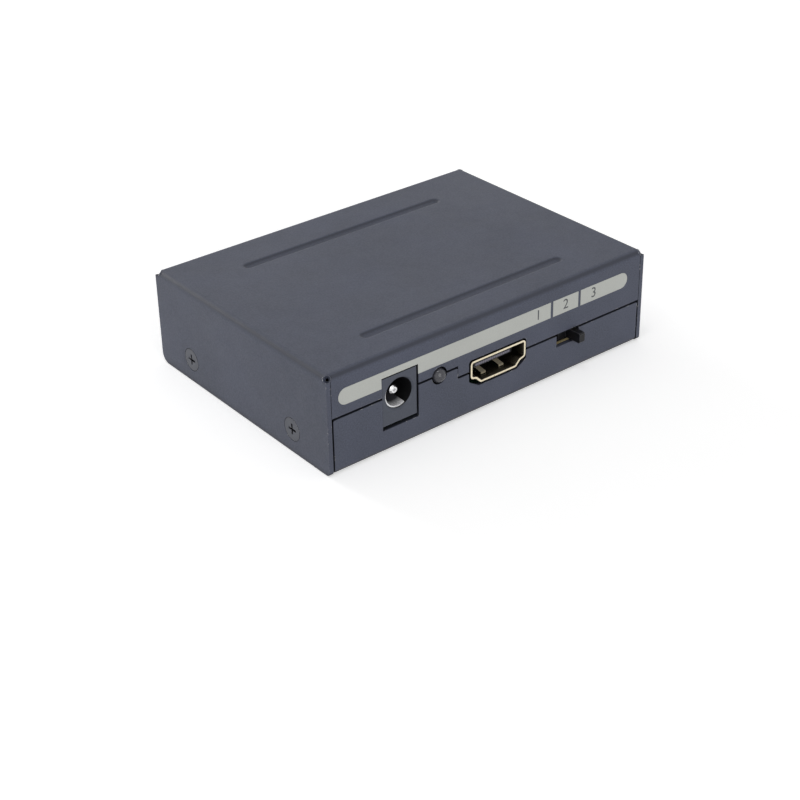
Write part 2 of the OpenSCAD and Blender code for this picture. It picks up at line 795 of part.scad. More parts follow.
module video_shell() translate([0, -video_out, video_lift]) {
    leg_h = video_ledge_h + video_corner_r + video_lift + board_t + blade_drop;
    difference() {
        union() {
            prism(0, video_d) polygon(rounded(video_points, video_corner_r));
            // Legs go on from the side walls through the board
            for (sx = [-1, 1], share = video_leg_share)
                translate([sx * (video_w - video_sheet) / 2,
                    video_out + share * video_d - video_leg_w / 2, 0])
                    block(video_sheet, video_leg_w, leg_h, 0, video_ledge_h + video_corner_r - leg_h);
        }
        prism(-over, video_d + over)
            polygon(rounded(inset(video_points, video_sheet), video_corner_r - video_sheet));
        for (sx = [-1, 1]) translate([sx * finger_x, 0, 0])
            block(finger_w + 2 * board_slot_gap, finger_l, video_sheet + over, finger_from, -over / 2);
    }
    // Spring fingers rise from the lower sheet
    for (sx = [-1, 1]) translate([sx * finger_x, finger_from + finger_l + video_sheet, 0])
        prism_x(finger_w) polygon([[0, 0], [0, video_sheet], [-finger_l / 2, finger_rise + video_sheet],
            [-finger_l, finger_rise / 2 + video_sheet], [-finger_l, finger_rise / 2],
            [-finger_l / 2, finger_rise], [-video_sheet, 0]]);
}

// Extrudes a Y-Z outline along X, centred
module prism_x(w) {
    translate([-w / 2, 0, 0]) rotate([90, 0, 90]) linear_extrude(w) children();
}

module video_insert() {
    insert_to = video_d - video_out;
    translate([0, 0, video_lift]) prism(video_insert_from, insert_to)
        polygon(rounded(inset(video_points, video_sheet + fit), video_corner_r - video_sheet));
    // Foot behind the shell, standing on the board
    block(video_foot_w, video_foot_d, video_lift + video_h - video_sheet, insert_to, 0);
    // Tongue with flats for the contacts
    block(tongue_w, video_insert_from - tongue_from, tongue_t, tongue_from, video_lift + tongue_h);
}

module video_contacts() {
    for (row = [0, 1]) {
        count = row == 0 ? 10 : 9;
        z = video_lift + tongue_h + (row == 0 ? tongue_t : -contact_t);
        for (i = [0:count - 1])
            translate([(i - (count - 1) / 2) * contact_pitch, tongue_from + contact_recess, z])
                block(contact_w, video_insert_from - tongue_from - contact_recess, contact_t);
    }
}

module hdmi_in_shell() color([0.85, 0.76, 0.58]) on_input(video_in_x) video_shell();
module hdmi_in_insert() color([0.08, 0.08, 0.08]) on_input(video_in_x) video_insert();
module hdmi_in_contacts() color([0.7, 0.68, 0.66]) on_input(video_in_x) video_contacts();
module hdmi_out_shell() color([0.85, 0.76, 0.58]) on_output(video_out_x) video_shell();
module hdmi_out_insert() color([0.08, 0.08, 0.08]) on_output(video_out_x) video_insert();
module hdmi_out_contacts() color([0.7, 0.68, 0.66]) on_output(video_out_x) video_contacts();

// Lamps

// Dome, barrel and rim of a lamp, turned around Y
module lamp() translate([0, -lamp_out, lamp_axis_h]) {
    rim_from = lamp_r + lamp_barrel_l;
    intersection() {
        translate([0, lamp_r, 0]) sphere(lamp_r);
        rod(2 * lamp_r, 0, lamp_r);
    }
    rod(lamp_r, lamp_r, rim_from);
    rod(lamp_rim_r, rim_from, rim_from + lamp_rim_l);
}

lamp_back = lamp_r + lamp_barrel_l + lamp_rim_l - lamp_out;

module lamp_slots() {
    for (sx = [-1, 1]) board_slot(lamp_lead_w, lamp_lead_w, sx * lamp_lead_pitch / 2,
        lamp_back + lamp_lead_run - lamp_lead_w / 2);
}

// Square leads that run back and turn down through the board
module lamp_leads() {
    for (sx = [-1, 1]) translate([sx * lamp_lead_pitch / 2, lamp_back, 0]) {
        block(lamp_lead_w, lamp_lead_run, lamp_lead_w, 0, lamp_axis_h - lamp_lead_w / 2);
        block(lamp_lead_w, lamp_lead_w, lamp_axis_h + board_t + blade_drop, lamp_lead_run - lamp_lead_w,
            -board_t - blade_drop);
    }
}

module power_led() color([0.8, 0.82, 0.85]) on_input(lamp_in_x) lamp();
module power_led_leads() color([0.75, 0.75, 0.72]) on_input(lamp_in_x) lamp_leads();
module status_led() color([0.8, 0.82, 0.85]) on_output(lamp_out_x) lamp();
module status_led_leads() color([0.75, 0.75, 0.72]) on_output(lamp_out_x) lamp_leads();

// Slide switch

module switch_frame() color([0.72, 0.66, 0.42]) on_input(switch_x) {
    outer_w = switch_inner_w + 2 * switch_sheet;
    difference() {
        block(outer_w, switch_d, switch_h, switch_front);
        // Open at the back and below like a folded bracket
        block(switch_inner_w, switch_d, switch_h - switch_sheet + over, switch_front + switch_sheet, -over);
        block(slot_w, switch_sheet + 2 * over, knob_h + 2 * switch_gap, switch_front - over,
            knob_axis_h - knob_h / 2 - switch_gap);
    }
    for (sx = [-1, 1]) translate([sx * (switch_inner_w + switch_sheet) / 2, switch_front + switch_d / 2, 0])
        block(switch_sheet, switch_leg_w, board_t + blade_drop, -switch_leg_w / 2, -board_t - blade_drop);
}

module switch_base() color([0.5, 0.36, 0.2]) on_input(switch_x)
    block(switch_inner_w - 2 * fit, switch_base_d, switch_h - switch_sheet - fit, switch_base_from);

module switch_knob() color([0.07, 0.07, 0.08]) on_input(knob_rest_x) {
    chamfer = knob_w / 6;
    translate([0, 0, knob_axis_h]) {
        block(slider_w, switch_block_d, switch_block_h, switch_block_from, -switch_block_h / 2);
        rotate([0, 90, 0]) translate([0, 0, -knob_w / 2]) linear_extrude(knob_w) polygon([
            [-knob_h / 2, switch_block_from + chamfer], [knob_h / 2, switch_block_from + chamfer],
            [knob_h / 2, chamfer - knob_out], [knob_h / 2 - chamfer, -knob_out],
            [chamfer - knob_h / 2, -knob_out], [-knob_h / 2, chamfer - knob_out],
        ]);
    }
}

// Optical socket

// Opening of the shutter: chamfered lower corners
module shutter_outline(w, low, high, chamfer) {
    polygon([[-w / 2 + chamfer, low], [w / 2 - chamfer, low], [w / 2, low + chamfer], [w / 2, high],
        [-w / 2, high], [-w / 2, low + chamfer]]);
}

module optical_housing() color([0.2, 0.21, 0.23]) on_output(optical_x) {
    body_from = sheet_t + audio_body_gap;
    difference() {
        union() {
            block(optical_w, optical_d - optical_recess, optical_top_h - optical_nose_low, optical_recess,
                optical_nose_low);
            // Behind the panel the housing reaches down to the board
            block(optical_w, optical_d - body_from, optical_top_h, body_from);
        }
        prism(-over, optical_cavity_d)
            shutter_outline(shutter_w, optical_cavity_low, optical_cavity_top, shutter_chamfer);
        // Round latch notches beside the opening
        for (sx = [-1, 1]) translate([sx * shutter_w / 2, 0, optical_axis_h])
            rod(latch_r, -over, optical_d / 2);
        // Seat of the hinge pin
        translate([0, shutter_axis_y, shutter_axis_h]) rotate([0, 90, 0])
            cylinder(h = optical_w - 2 * shutter_barrel_r, r = shutter_pin_r + fit, center = true);
        // Seat of the light source
        translate([0, 0, optical_axis_h]) {
            rod(emitter_r + fit, optical_cavity_d - over, optical_d + over);
            block(emitter_block + 2 * fit, optical_d, emitter_block + 2 * fit,
                emitter_from - fit, -emitter_block / 2 - fit);
        }
    }
}

module optical_door() color([0.21, 0.22, 0.24]) on_output(optical_x) {
    w = shutter_w - 2 * shutter_gap;
    face = shutter_axis_y - shutter_barrel_r;
    low = optical_cavity_low + shutter_gap;
    difference() {
        union() {
            prism(face, face + shutter_t)
                shutter_outline(w, low, shutter_axis_h, shutter_chamfer);
            translate([-w / 2, shutter_axis_y, shutter_axis_h]) rotate([0, 90, 0])
                cylinder(h = w, r = shutter_barrel_r);
        }
        translate([0, shutter_axis_y, shutter_axis_h]) rotate([0, 90, 0])
            cylinder(h = w + over, r = shutter_pin_r + shutter_pin_gap, center = true);
        // Upright groove and finger slot in the face
        translate([shutter_groove_x, 0, 0])
            block(shutter_groove_w, over + shutter_groove_depth, shutter_groove_l, face - over, low);
        translate([shutter_slot_x, 0, 0])
            block(shutter_slot_w, over + 2 * shutter_groove_depth, shutter_slot_h + over,
                face - over, low - over);
    }
}

module optical_door_pin() color([0.7, 0.7, 0.7]) on_output(optical_x)
    translate([0, shutter_axis_y, shutter_axis_h]) rotate([0, 90, 0])
        cylinder(h = optical_w - 2 * shutter_barrel_r - 2 * fit, r = shutter_pin_r, center = true);

module optical_emitter() color([0.35, 0.08, 0.1]) on_output(optical_x) translate([0, 0, optical_axis_h]) {
    rod(emitter_r, optical_cavity_d - emitter_l, emitter_from);
    block(emitter_block, emitter_block_d, emitter_block, emitter_from, -emitter_block / 2);
    for (i = [-1:1]) translate([i * lamp_lead_pitch / 2, 0, 0])
        block(lamp_lead_w, lamp_lead_w, emitter_block / 2 + optical_axis_h,
            emitter_from + emitter_block_d, -optical_axis_h);
}

// Audio sockets

module rca_housing() color([0.1, 0.1, 0.11]) {
    body_from = sheet_t + audio_body_gap;
    body_h = audio_axis_h + audio_body_r;
    ring_back = audio_ring_l - audio_out;
    insert_back = audio_insert_recess + audio_insert_l - audio_out;
    difference() {
        union() {
            on_output((audio_xs[0] + audio_xs[1]) / 2)
                block(audio_pitch + 2 * audio_body_r, audio_body_d, body_h, body_from);
            for (x = audio_xs) on_output(x) translate([0, 0, audio_axis_h]) {
                rod(audio_barrel_r, ring_back + fit, body_from + over);
                rod(audio_nose_r, audio_lip_r - audio_out + fit, body_from + over);
            }
        }
        for (x = audio_xs) on_output(x) translate([0, 0, audio_axis_h]) {
            rod(audio_insert_r + fit, -audio_out - over, insert_back + fit);
            rod(audio_bore_r + audio_contact_wall + fit, -audio_out - over,
                insert_back + audio_contact_l + 2 * fit);
        }
    }
}

// Metal ring over a barrel's nose, with a round lip
module audio_ring() translate([0, 0, audio_axis_h]) {
    front = -audio_out;
    back = front + audio_ring_l;
    lip_mid = [audio_ring_r - audio_lip_r, front + audio_lip_r];
    turned(concat(
        [[audio_insert_r + fit, front]],
        [for (a = [-90:15:0]) lip_mid + audio_lip_r * [cos(a), sin(a)]],
        [[audio_ring_r, back], [audio_nose_r + fit, back], [audio_nose_r + fit, front + audio_lip_r],
            [audio_insert_r + fit, front + audio_lip_r]]
    ));
}

// Coloured insert with a dished face and the bore for the plug's pin
module audio_insert() translate([0, 0, audio_axis_h]) {
    front = audio_insert_recess - audio_out;
    turned([[audio_bore_r, front + audio_dish], [audio_bore_r + audio_dish, front + audio_dish / 2],
        [audio_insert_r - audio_dish, front], [audio_insert_r, front + audio_dish / 2],
        [audio_insert_r, front + audio_insert_l], [audio_bore_r, front + audio_insert_l]]);
}

module rca_ring_right() color([0.82, 0.82, 0.8]) on_output(audio_xs[0]) audio_ring();
module rca_ring_left() color([0.82, 0.82, 0.8]) on_output(audio_xs[1]) audio_ring();
module rca_insert_right() color([0.75, 0.1, 0.1]) on_output(audio_xs[0]) audio_insert();
module rca_insert_left() color([0.92, 0.92, 0.9]) on_output(audio_xs[1]) audio_insert();

// Tubular centre contacts behind the inserts
module rca_contacts() color([0.8, 0.7, 0.4]) {
    from = audio_insert_recess + audio_insert_l - audio_out + fit;
    for (x = audio_xs) on_output(x) translate([0, 0, audio_axis_h])
        turned([[audio_bore_r, from], [audio_bore_r + audio_contact_wall, from],
            [audio_bore_r + audio_contact_wall, from + audio_contact_l], [0, from + audio_contact_l],
            [0, from + audio_contact_l - audio_contact_wall],
            [audio_bore_r, from + audio_contact_l - audio_contact_wall]]);
}

// Parts on the board

module on_board(share) {
    translate([share.x * board_half_w, mid_y + share.y * board_half_d, board_top]) children();
}

// Flat package with a row of bent leads on two opposite sides
module chip(w, l, h, count) {
    translate([-w / 2, -l / 2, chip_lead_w]) cube([w, l, h - chip_lead_w]);
    for (side = [0, 180], i = [0:count - 1])
        rotate(side) translate([w / 2, (i - (count - 1) / 2) * chip_lead_pitch - chip_lead_w / 2, 0]) {
            cube([chip_lead_l, chip_lead_w, chip_lead_w]);
            cube([chip_lead_w, chip_lead_w, h / 2]);
        }
}

module video_chip() color([0.1, 0.1, 0.11]) on_board(video_chip_place_share) {
    chip(video_chip_w, video_chip_w, video_chip_h, 14);
    rotate(90) chip(video_chip_w, video_chip_w, video_chip_h, 14);
}

module audio_chip() color([0.1, 0.1, 0.11]) on_board(audio_chip_place_share)
    chip(audio_chip_w, audio_chip_l, audio_chip_h, 8);

module regulator() color([0.1, 0.1, 0.11]) on_board(regulator_place_share)
    chip(regulator_l, regulator_w, regulator_h, 4);

module crystal() color([0.8, 0.8, 0.8]) on_board(crystal_place_share)
    translate([-crystal_w / 2, -crystal_l / 2, 0]) cube([crystal_w, crystal_l, crystal_h]);

module inductor() color([0.25, 0.25, 0.26]) on_board(inductor_place_share)
    intersection() {
        translate([-inductor_w / 2, -inductor_w / 2, 0]) cube([inductor_w, inductor_w, inductor_h]);
        cylinder(h = inductor_h, r = inductor_w * inductor_round_share);
    }

module capacitors() color([0.6, 0.62, 0.65]) {
    for (share = capacitor_places_share) on_board(share) {
        translate([-capacitor_r, -capacitor_r, 0]) cube([2 * capacitor_r, 2 * capacitor_r, capacitor_base_h]);
        cylinder(h = capacitor_h, r = capacitor_r);
    }
}

top_cover();
bottom_tray();
case_screws();
standoffs();
main_board();
board_screws();
dc_jack_body();
dc_jack_pin();
dc_jack_contact();
dc_jack_terminals();
hdmi_in_shell();
hdmi_in_insert();
hdmi_in_contacts();
hdmi_out_shell();
hdmi_out_insert();
hdmi_out_contacts();
power_led();
power_led_leads();
status_led();
status_led_leads();
switch_frame();
switch_base();
switch_knob();
optical_housing();
optical_door();
optical_door_pin();
optical_emitter();
rca_housing();
rca_ring_right();
rca_ring_left();
rca_insert_right();
rca_insert_left();
rca_contacts();
video_chip();
audio_chip();
regulator();
crystal();
inductor();
capacitors();
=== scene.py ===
"""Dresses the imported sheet-metal converter box: finishes, prints, small added pieces, stage and camera."""

import math
from typing import NamedTuple

import bmesh
import bpy
from bpy.props import FloatProperty, FloatVectorProperty, PointerProperty
from mathutils import Matrix, Vector


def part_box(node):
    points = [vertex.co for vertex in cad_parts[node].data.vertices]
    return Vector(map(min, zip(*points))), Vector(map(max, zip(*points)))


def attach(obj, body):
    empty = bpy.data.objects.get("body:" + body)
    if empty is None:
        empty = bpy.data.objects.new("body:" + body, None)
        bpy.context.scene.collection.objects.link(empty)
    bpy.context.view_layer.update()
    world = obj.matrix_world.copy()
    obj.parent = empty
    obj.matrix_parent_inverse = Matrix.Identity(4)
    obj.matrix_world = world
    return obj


bl_info = {
    "name": "Converter Box Looks",
    "version": (1, 0, 0),
    "blender": (4, 5, 0),
    "location": "3D View > Sidebar > Converter Box",
    "description": "Finishes, printed strips and small added pieces for a sheet-metal converter box",
    "category": "Object",
}

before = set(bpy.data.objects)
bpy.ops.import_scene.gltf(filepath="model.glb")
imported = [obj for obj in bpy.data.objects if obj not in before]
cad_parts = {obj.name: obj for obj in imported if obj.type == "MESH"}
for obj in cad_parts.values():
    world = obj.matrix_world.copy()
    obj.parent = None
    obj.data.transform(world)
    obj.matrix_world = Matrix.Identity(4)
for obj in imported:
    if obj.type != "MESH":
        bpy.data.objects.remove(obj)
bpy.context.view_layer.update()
MM = 0.001
MICRON = 0.001 * MM
PANEL_IN_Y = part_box("top_cover")[0].y
PANEL_OUT_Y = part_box("bottom_tray")[1].y


class Wear(NamedTuple):
    """Worn edges: their width, the size of their patches, how much shows, and what shows there."""

    width: float
    patch_size: float
    amount: float
    colour: tuple
    metallic: float = 0.0


class HollowShade(NamedTuple):
    """Painted shade in gaps and recesses: a dark colour mixed in by the share of the sky that a point sees
    within reach.

    At the share full only the painted shade shows, and at the share none it is gone.
    own_lean is the least lean towards Y at which a face keeps its own colour, or 0.
    """

    reach: float
    full: float
    none: float
    colour: tuple
    own_lean: float = 0.0


class BoreShade(NamedTuple):
    """Painted shade deep in an opening: a dark colour that sets in between two places along Y."""

    start: float
    end: float
    colour: tuple


class CorePiece(NamedTuple):
    """A cup or post in a lamp: its place beside the middle, its size, and how far behind the tip it is."""

    name: str
    side: float
    radius: float
    depth: float
    reach: float


class Lamp(NamedTuple):
    """A square area lamp: its place and size in metres, and its energy in watts."""

    name: str
    place: tuple
    size: float
    energy: float


def rgb(red, green, blue):
    """An opaque colour, as a shader socket takes it."""
    return (red, green, blue, 1.0)


def darker(tone, share):
    """A share of a colour's brightness, still opaque."""
    return rgb(*(share * value for value in tone[:3]))


# Painted shade: dark colours mixed into gaps and recesses, and into the jack's inside deeper along Y
SHADE_BLACK = rgb(0.003, 0.003, 0.004)
GAP_PAINTED_SHADE = HollowShade(1.6 * MM, 0.20, 0.95, SHADE_BLACK)
SCREW_PAINTED_SHADE = HollowShade(0.8 * MM, 0.45, 0.95, SHADE_BLACK)
SOCKET_PAINTED_SHADE = HollowShade(6.0 * MM, 0.50, 1.20, rgb(0.016, 0.013, 0.008), own_lean=0.08)
JACK_PAINTED_SHADE = BoreShade(PANEL_IN_Y + 0.40 * MM, PANEL_IN_Y + 0.46 * MM, SHADE_BLACK)
LEAF_PAINTED_SHADE = BoreShade(PANEL_IN_Y + 1.0 * MM, PANEL_IN_Y + 2.6 * MM, rgb(0.06, 0.06, 0.07))
HOLLOW_SAMPLES = 8
OWN_LEAN_SPREAD = 1.5

# Grain: the swell's and the patches' scale as shares of the grain's, and the grain's share of the tone
SWELL_SCALE = 0.22
PATCH_SCALE = 0.02
GRAIN_IN_TONE = 0.55

# Edge wear: 1 minus the cosine between rounded and true normal, then how the noise turns into patches
EDGE_NONE = 0.02
EDGE_FULL = 0.25
PATCH_LEAST = 0.28
PATCH_SPREAD = 0.5
PATCH_SOFTNESS = 0.06
BEVEL_SAMPLES = 4

# Handling: the scale of small smears against broad ones, and the broad ones' share
SMALL_SMEARS = 9.0
BROAD_SHARE = 0.7

# Painted shade on bends: the largest part of a unit normal along one axis, where the sheet is bent
# and where it is flat, and the share of the coat's colour that the painted shade keeps there
FOLD_BENT = 0.80
FOLD_FLAT = 0.985
FOLD_SHADE = 0.42

# Vertices nearer than this are doubles
MERGE = 0.0001 * MM

# Prints: a round end's radius as a share of half the height, below 1 so that its two corners stay apart,
# and how far a number rises as a share of the ink
ROUND_SEGMENTS = 10
ROUND_SHARE = 0.998
NUMBER_RELIEF = 0.3

# Lamp cores: the foot's radius as a share of the top's, and the cup's rim, wall and depth
CORE_PIECES = (
    CorePiece("cup", -0.45 * MM, 0.55 * MM, 0.8 * MM, 2.0 * MM),
    CorePiece("post", 0.55 * MM, 0.28 * MM, 0.5 * MM, 2.3 * MM),
)
CORE_SEGMENTS = 24
CORE_FOOT = 0.7
CUP_RIM = 0.12 * MM
CUP_WALL = 0.15 * MM
CUP_DEPTH = 0.25 * MM

# Contact tips: drop is from the contacts' upper edge
TIP_WIDTH = 0.40 * MM
TIP_HEIGHT = 0.52 * MM
TIP_DROP = 0.50 * MM
TIP_THICKNESS = 0.03 * MM
TIP_PITCH = 0.5 * MM

# Corner reliefs: the section's radii and heights in millimetres, and its distance from the corner
RELIEF_SECTION = ((0.83, 0.0), (0.83, 0.95), (0.28, 0.95), (0.70, 0.06))
RELIEF_STEPS = 24
RELIEF_DEPTH = 1.22 * MM

# Stage: the floor's reach from the middle, and its drop below the box, so that no faces coincide
FLOOR_REACH = 3.0
FLOOR_DROP = 0.02 * MM
LAMP_TARGET = Vector((0.0, 0.0, 0.01))
LAMPS = (
    Lamp("softbox_low", (-0.12, 0.98, 0.17), 0.3, 5.5),
    Lamp("softbox_left", (-0.75, -0.15, 0.30), 0.6, 0.40),
    Lamp("softbox_front", (-0.25, -0.85, 0.32), 0.7, 3.1),
    Lamp("spark", (-0.20, -0.10, 0.96), 0.12, 0.55),
)
SENSOR_WIDTH = 36.0
CLIP_NEAR = 0.01
CLIP_FAR = 20.0


def colour(name, description, default):
    """A colour setting."""
    return FloatVectorProperty(
        name=name, description=description, default=default, size=4, min=0.0, max=1.0, subtype="COLOR"
    )


def length(name, description, default):
    """A length setting, with its default in millimetres."""
    return FloatProperty(
        name=name,
        description=description,
        default=default * MM,
        unit="LENGTH",
        subtype="DISTANCE",
        precision=5,
    )


def angle(name, description, default):
    """An angle setting, with its default in degrees."""
    return FloatProperty(
        name=name, description=description, default=math.radians(default), subtype="ANGLE"
    )


def number(name, description, default):
    """A plain number setting."""
    return FloatProperty(name=name, description=description, default=default)


class ConverterBoxCoat(bpy.types.PropertyGroup):
    """Colours and grain of the powder coat, and of the print on it."""

    coat: colour("Coat", "Powder coat of cover and tray", (0.079, 0.088, 0.127, 1.0))
    coat_dark: colour("Coat, deep spots", "Powder coat where the grain is thin", (0.045, 0.051, 0.073, 1.0))
    bare_metal: colour("Bare edge", "Sheet metal where an edge is worn", (0.42, 0.42, 0.43, 1.0))
    grain: length("Grain", "Size of the coat's grain", 0.32)
    grain_height: length("Grain height", "Height of the coat's grain", 0.026)
    strip: colour("Strip", "Printed strip", (0.500, 0.512, 0.482, 1.0))
    numbers: colour("Numbers", "Numbers on the strip", (0.060, 0.064, 0.072, 1.0))


class ConverterBoxPrint(bpy.types.PropertyGroup):
    """Sizes of the printed strips and numbers."""

    ink: length("Ink", "Thickness of the ink", 0.03)
    in_left: length("Input strip, left end", "X of its left end", -40.25)
    in_right: length("Input strip, right end", "X of its right end", 38.05)
    in_low: length("Input strip, lower edge", "Z of its lower edge", 15.02)
    in_high: length("Input strip, upper edge", "Z of its upper edge", 18.69)
    gap_1: length("First gap", "X of the middle of the first gap between two fields", 15.7)
    gap_2: length("Second gap", "X of the middle of the second gap", 23.7)
    gap: length("Gap width", "Width of a gap between two fields", 0.7)
    socket_gap: length("Gap round the power socket", "From the socket's face to the strip", 0.30)
    socket_shift: length("Shift of that gap", "How far the strip's notch sits to the socket's right", 0.10)
    out_left: length("Output strip, left end", "X of its end on the left", -33.7)
    out_right: length("Output strip, right end", "X of its end on the right", 34.1)
    out_low: length("Output strip, lower edge", "Z of its lower edge", 1.8)
    out_high: length("Output strip, upper edge", "Z of its upper edge", 5.5)
    number_size: length("Number size", "Height of the numbers' font", 3.3)
    number_1: length("Number 1", "How far it stands left of the first gap", 3.9)
    number_3: length("Number 3", "How far it stands right of the second gap", 4.2)


class ConverterBoxStage(bpy.types.PropertyGroup):
    """Camera and light."""

    eye: FloatVectorProperty(
        name="Camera place",
        description="Where the camera stands",
        size=3,
        subtype="TRANSLATION",
        unit="LENGTH",
        default=(-197.97 * MM, -250.57 * MM, 177.30 * MM),
    )
    turn: angle("Camera turn", "About Z, from +Y", -38.360)
    dip: angle("Camera dip", "Below the horizon", 28.140)
    roll: angle("Camera roll", "About the line of sight", -1.083)
    lens: number("Lens", "Focal length in millimetres", 73.948)
    shift_x: number("Shift X", "Sideways shift of the frame", 0.0005)
    shift_y: number("Shift Y", "Upright shift of the frame", -0.0978)
    sky: number("Soft light", "Strength of the even light all round", 0.44)
    floor_glow: number("Floor white", "What the camera adds to the floor", 0.42)


def settings():
    """The scene's three groups of settings."""
    scene = bpy.context.scene
    return scene.converter_coat, scene.converter_print, scene.converter_stage


# Shader nodes


def feed(tree, target, value):
    """Links a socket to an input, or sets the input to a plain number or colour."""
    if isinstance(value, bpy.types.NodeSocket):
        tree.links.new(value, target)
    else:
        target.default_value = value


def maths(tree, operation, *values, clamp=False):
    """A Math node on sockets or plain numbers."""
    node = tree.nodes.new("ShaderNodeMath")
    node.operation = operation
    node.use_clamp = clamp
    for place, value in enumerate(values):
        feed(tree, node.inputs[place], value)
    return node.outputs[0]


def span(tree, value, low, high, to_low=0.0, to_high=1.0):
    """A clamped Map Range node."""
    node = tree.nodes.new("ShaderNodeMapRange")
    feed(tree, node.inputs["Value"], value)
    feed(tree, node.inputs["From Min"], low)
    feed(tree, node.inputs["From Max"], high)
    feed(tree, node.inputs["To Min"], to_low)
    feed(tree, node.inputs["To Max"], to_high)
    return node.outputs["Result"]


def noise(tree, scale, detail, roughness=0.5):
    """A noise on Object coordinates. Scale is a socket or a number of lumps per metre."""
    node = tree.nodes.new("ShaderNodeTexNoise")
    place = tree.nodes.new("ShaderNodeTexCoord").outputs["Object"]
    tree.links.new(place, node.inputs["Vector"])
    feed(tree, node.inputs["Scale"], scale)
    node.inputs["Detail"].default_value = detail
    node.inputs["Roughness"].default_value = roughness
    return node.outputs["Fac"]


def axes(tree, vector):
    """The X, Y and Z of a vector socket."""
    node = tree.nodes.new("ShaderNodeSeparateXYZ")
    tree.links.new(vector, node.inputs[0])
    return node.outputs


def mix_colour(tree, factor, a, b):
    """A colour mix whose ends are sockets or plain colours."""
    node = tree.nodes.new("ShaderNodeMix")
    node.data_type = "RGBA"
    tree.links.new(factor, node.inputs[0])
    feed(tree, node.inputs[6], a)
    feed(tree, node.inputs[7], b)
    return node.outputs[2]


# Shader groups that several finishes share


def group(name, inputs, outputs):
    """Starts a shader group of plain values, and gives the tree with its two ends."""
    tree = bpy.data.node_groups.new(name, "ShaderNodeTree")
    for label, default in inputs:
        socket = tree.interface.new_socket(name=label, in_out="INPUT", socket_type="NodeSocketFloat")
        socket.default_value = default
    for label in outputs:
        tree.interface.new_socket(name=label, in_out="OUTPUT", socket_type="NodeSocketFloat")
    return tree, tree.nodes.new("NodeGroupInput"), tree.nodes.new("NodeGroupOutput")


def grain_group(name):
    """Fine grain of a coat or a moulded face, with a slow swell under it."""
    tree, start, end = group(name, [("Grain Size", 0.3 * MM), ("Swell", 0.35)], ["Height", "Tone"])
    scale = maths(tree, "DIVIDE", 1.0, start.outputs["Grain Size"])
    fine = noise(tree, scale, 2.0, 0.55)
    swell = noise(tree, maths(tree, "MULTIPLY", scale, SWELL_SCALE), 2.0)
    height = maths(tree, "MULTIPLY_ADD", swell, start.outputs["Swell"], fine)
    tree.links.new(height, end.inputs["Height"])
    patches = noise(tree, maths(tree, "MULTIPLY", scale, PATCH_SCALE), 3.0, 0.6)
    in_patches = maths(tree, "MULTIPLY", span(tree, patches, 0.3, 0.7), 1.0 - GRAIN_IN_TONE)
    tone = maths(tree, "MULTIPLY_ADD", span(tree, fine, 0.35, 0.65), GRAIN_IN_TONE, in_patches)
    tree.links.new(tone, end.inputs["Tone"])


def wear_group(name):
    """Mask of worn edges: where the rounded normal leaves the true one, broken up by a noise."""
    inputs = [("Width", 0.2 * MM), ("Patch Size", 2.0 * MM), ("Amount", 0.5)]
    tree, start, end = group(name, inputs, ["Mask"])
    bevel = tree.nodes.new("ShaderNodeBevel")
    bevel.samples = BEVEL_SAMPLES
    tree.links.new(start.outputs["Width"], bevel.inputs["Radius"])
    geometry = tree.nodes.new("ShaderNodeNewGeometry")
    dot = tree.nodes.new("ShaderNodeVectorMath")
    dot.operation = "DOT_PRODUCT"
    tree.links.new(bevel.outputs["Normal"], dot.inputs[0])
    tree.links.new(geometry.outputs["Normal"], dot.inputs[1])
    edge = span(tree, maths(tree, "SUBTRACT", 1.0, dot.outputs["Value"]), EDGE_NONE, EDGE_FULL)
    patches = noise(tree, maths(tree, "DIVIDE", 1.0, start.outputs["Patch Size"]), 3.0, 0.65)
    kept = maths(tree, "SUBTRACT", 1.0, start.outputs["Amount"])
    low = maths(tree, "MULTIPLY_ADD", kept, PATCH_SPREAD, PATCH_LEAST)
    high = maths(tree, "ADD", low, PATCH_SOFTNESS)
    mask = maths(tree, "MULTIPLY", edge, span(tree, patches, low, high), clamp=True)
    tree.links.new(mask, end.inputs["Mask"])


def handling_group(name):
    """Broad and small smears from handling, for roughness."""
    tree, start, end = group(name, [("Smear Size", 20.0 * MM)], ["Mask"])
    scale = maths(tree, "DIVIDE", 1.0, start.outputs["Smear Size"])
    broad = maths(tree, "MULTIPLY", noise(tree, scale, 3.0, 0.6), BROAD_SHARE)
    small = noise(tree, maths(tree, "MULTIPLY", scale, SMALL_SMEARS), 2.0)
    both = maths(tree, "MULTIPLY_ADD", small, 1.0 - BROAD_SHARE, broad)
    tree.links.new(span(tree, both, 0.38, 0.62), end.inputs["Mask"])


def fold_group(name):
    """Mask for painted shade on bends: 0 where a face leans between two sides of the box, 1 where it lies in
    one.
    """
    tree, start, end = group(name, [("Bent", FOLD_BENT), ("Flat", FOLD_FLAT)], ["Mask"])
    normal = axes(tree, tree.nodes.new("ShaderNodeNewGeometry").outputs["Normal"])
    sizes = [maths(tree, "ABSOLUTE", normal[axis]) for axis in "XYZ"]
    widest = maths(tree, "MAXIMUM", maths(tree, "MAXIMUM", sizes[0], sizes[1]), sizes[2])
    mask = span(tree, widest, start.outputs["Bent"], start.outputs["Flat"])
    tree.links.new(mask, end.inputs["Mask"])


def depth_group(name):
    """Mask for painted shade deep in an opening: 0 before one place along Y, 1 behind another."""
    tree, start, end = group(name, [("Start", 0.0), ("End", 1.0 * MM)], ["Mask"])
    place = axes(tree, tree.nodes.new("ShaderNodeTexCoord").outputs["Object"])
    mask = span(tree, place["Y"], start.outputs["Start"], start.outputs["End"])
    tree.links.new(mask, end.inputs["Mask"])


GROUPS = {
    "Surface grain": grain_group,
    "Edge wear": wear_group,
    "Handling": handling_group,
    "Sheet fold": fold_group,
    "Bore depth": depth_group,
}


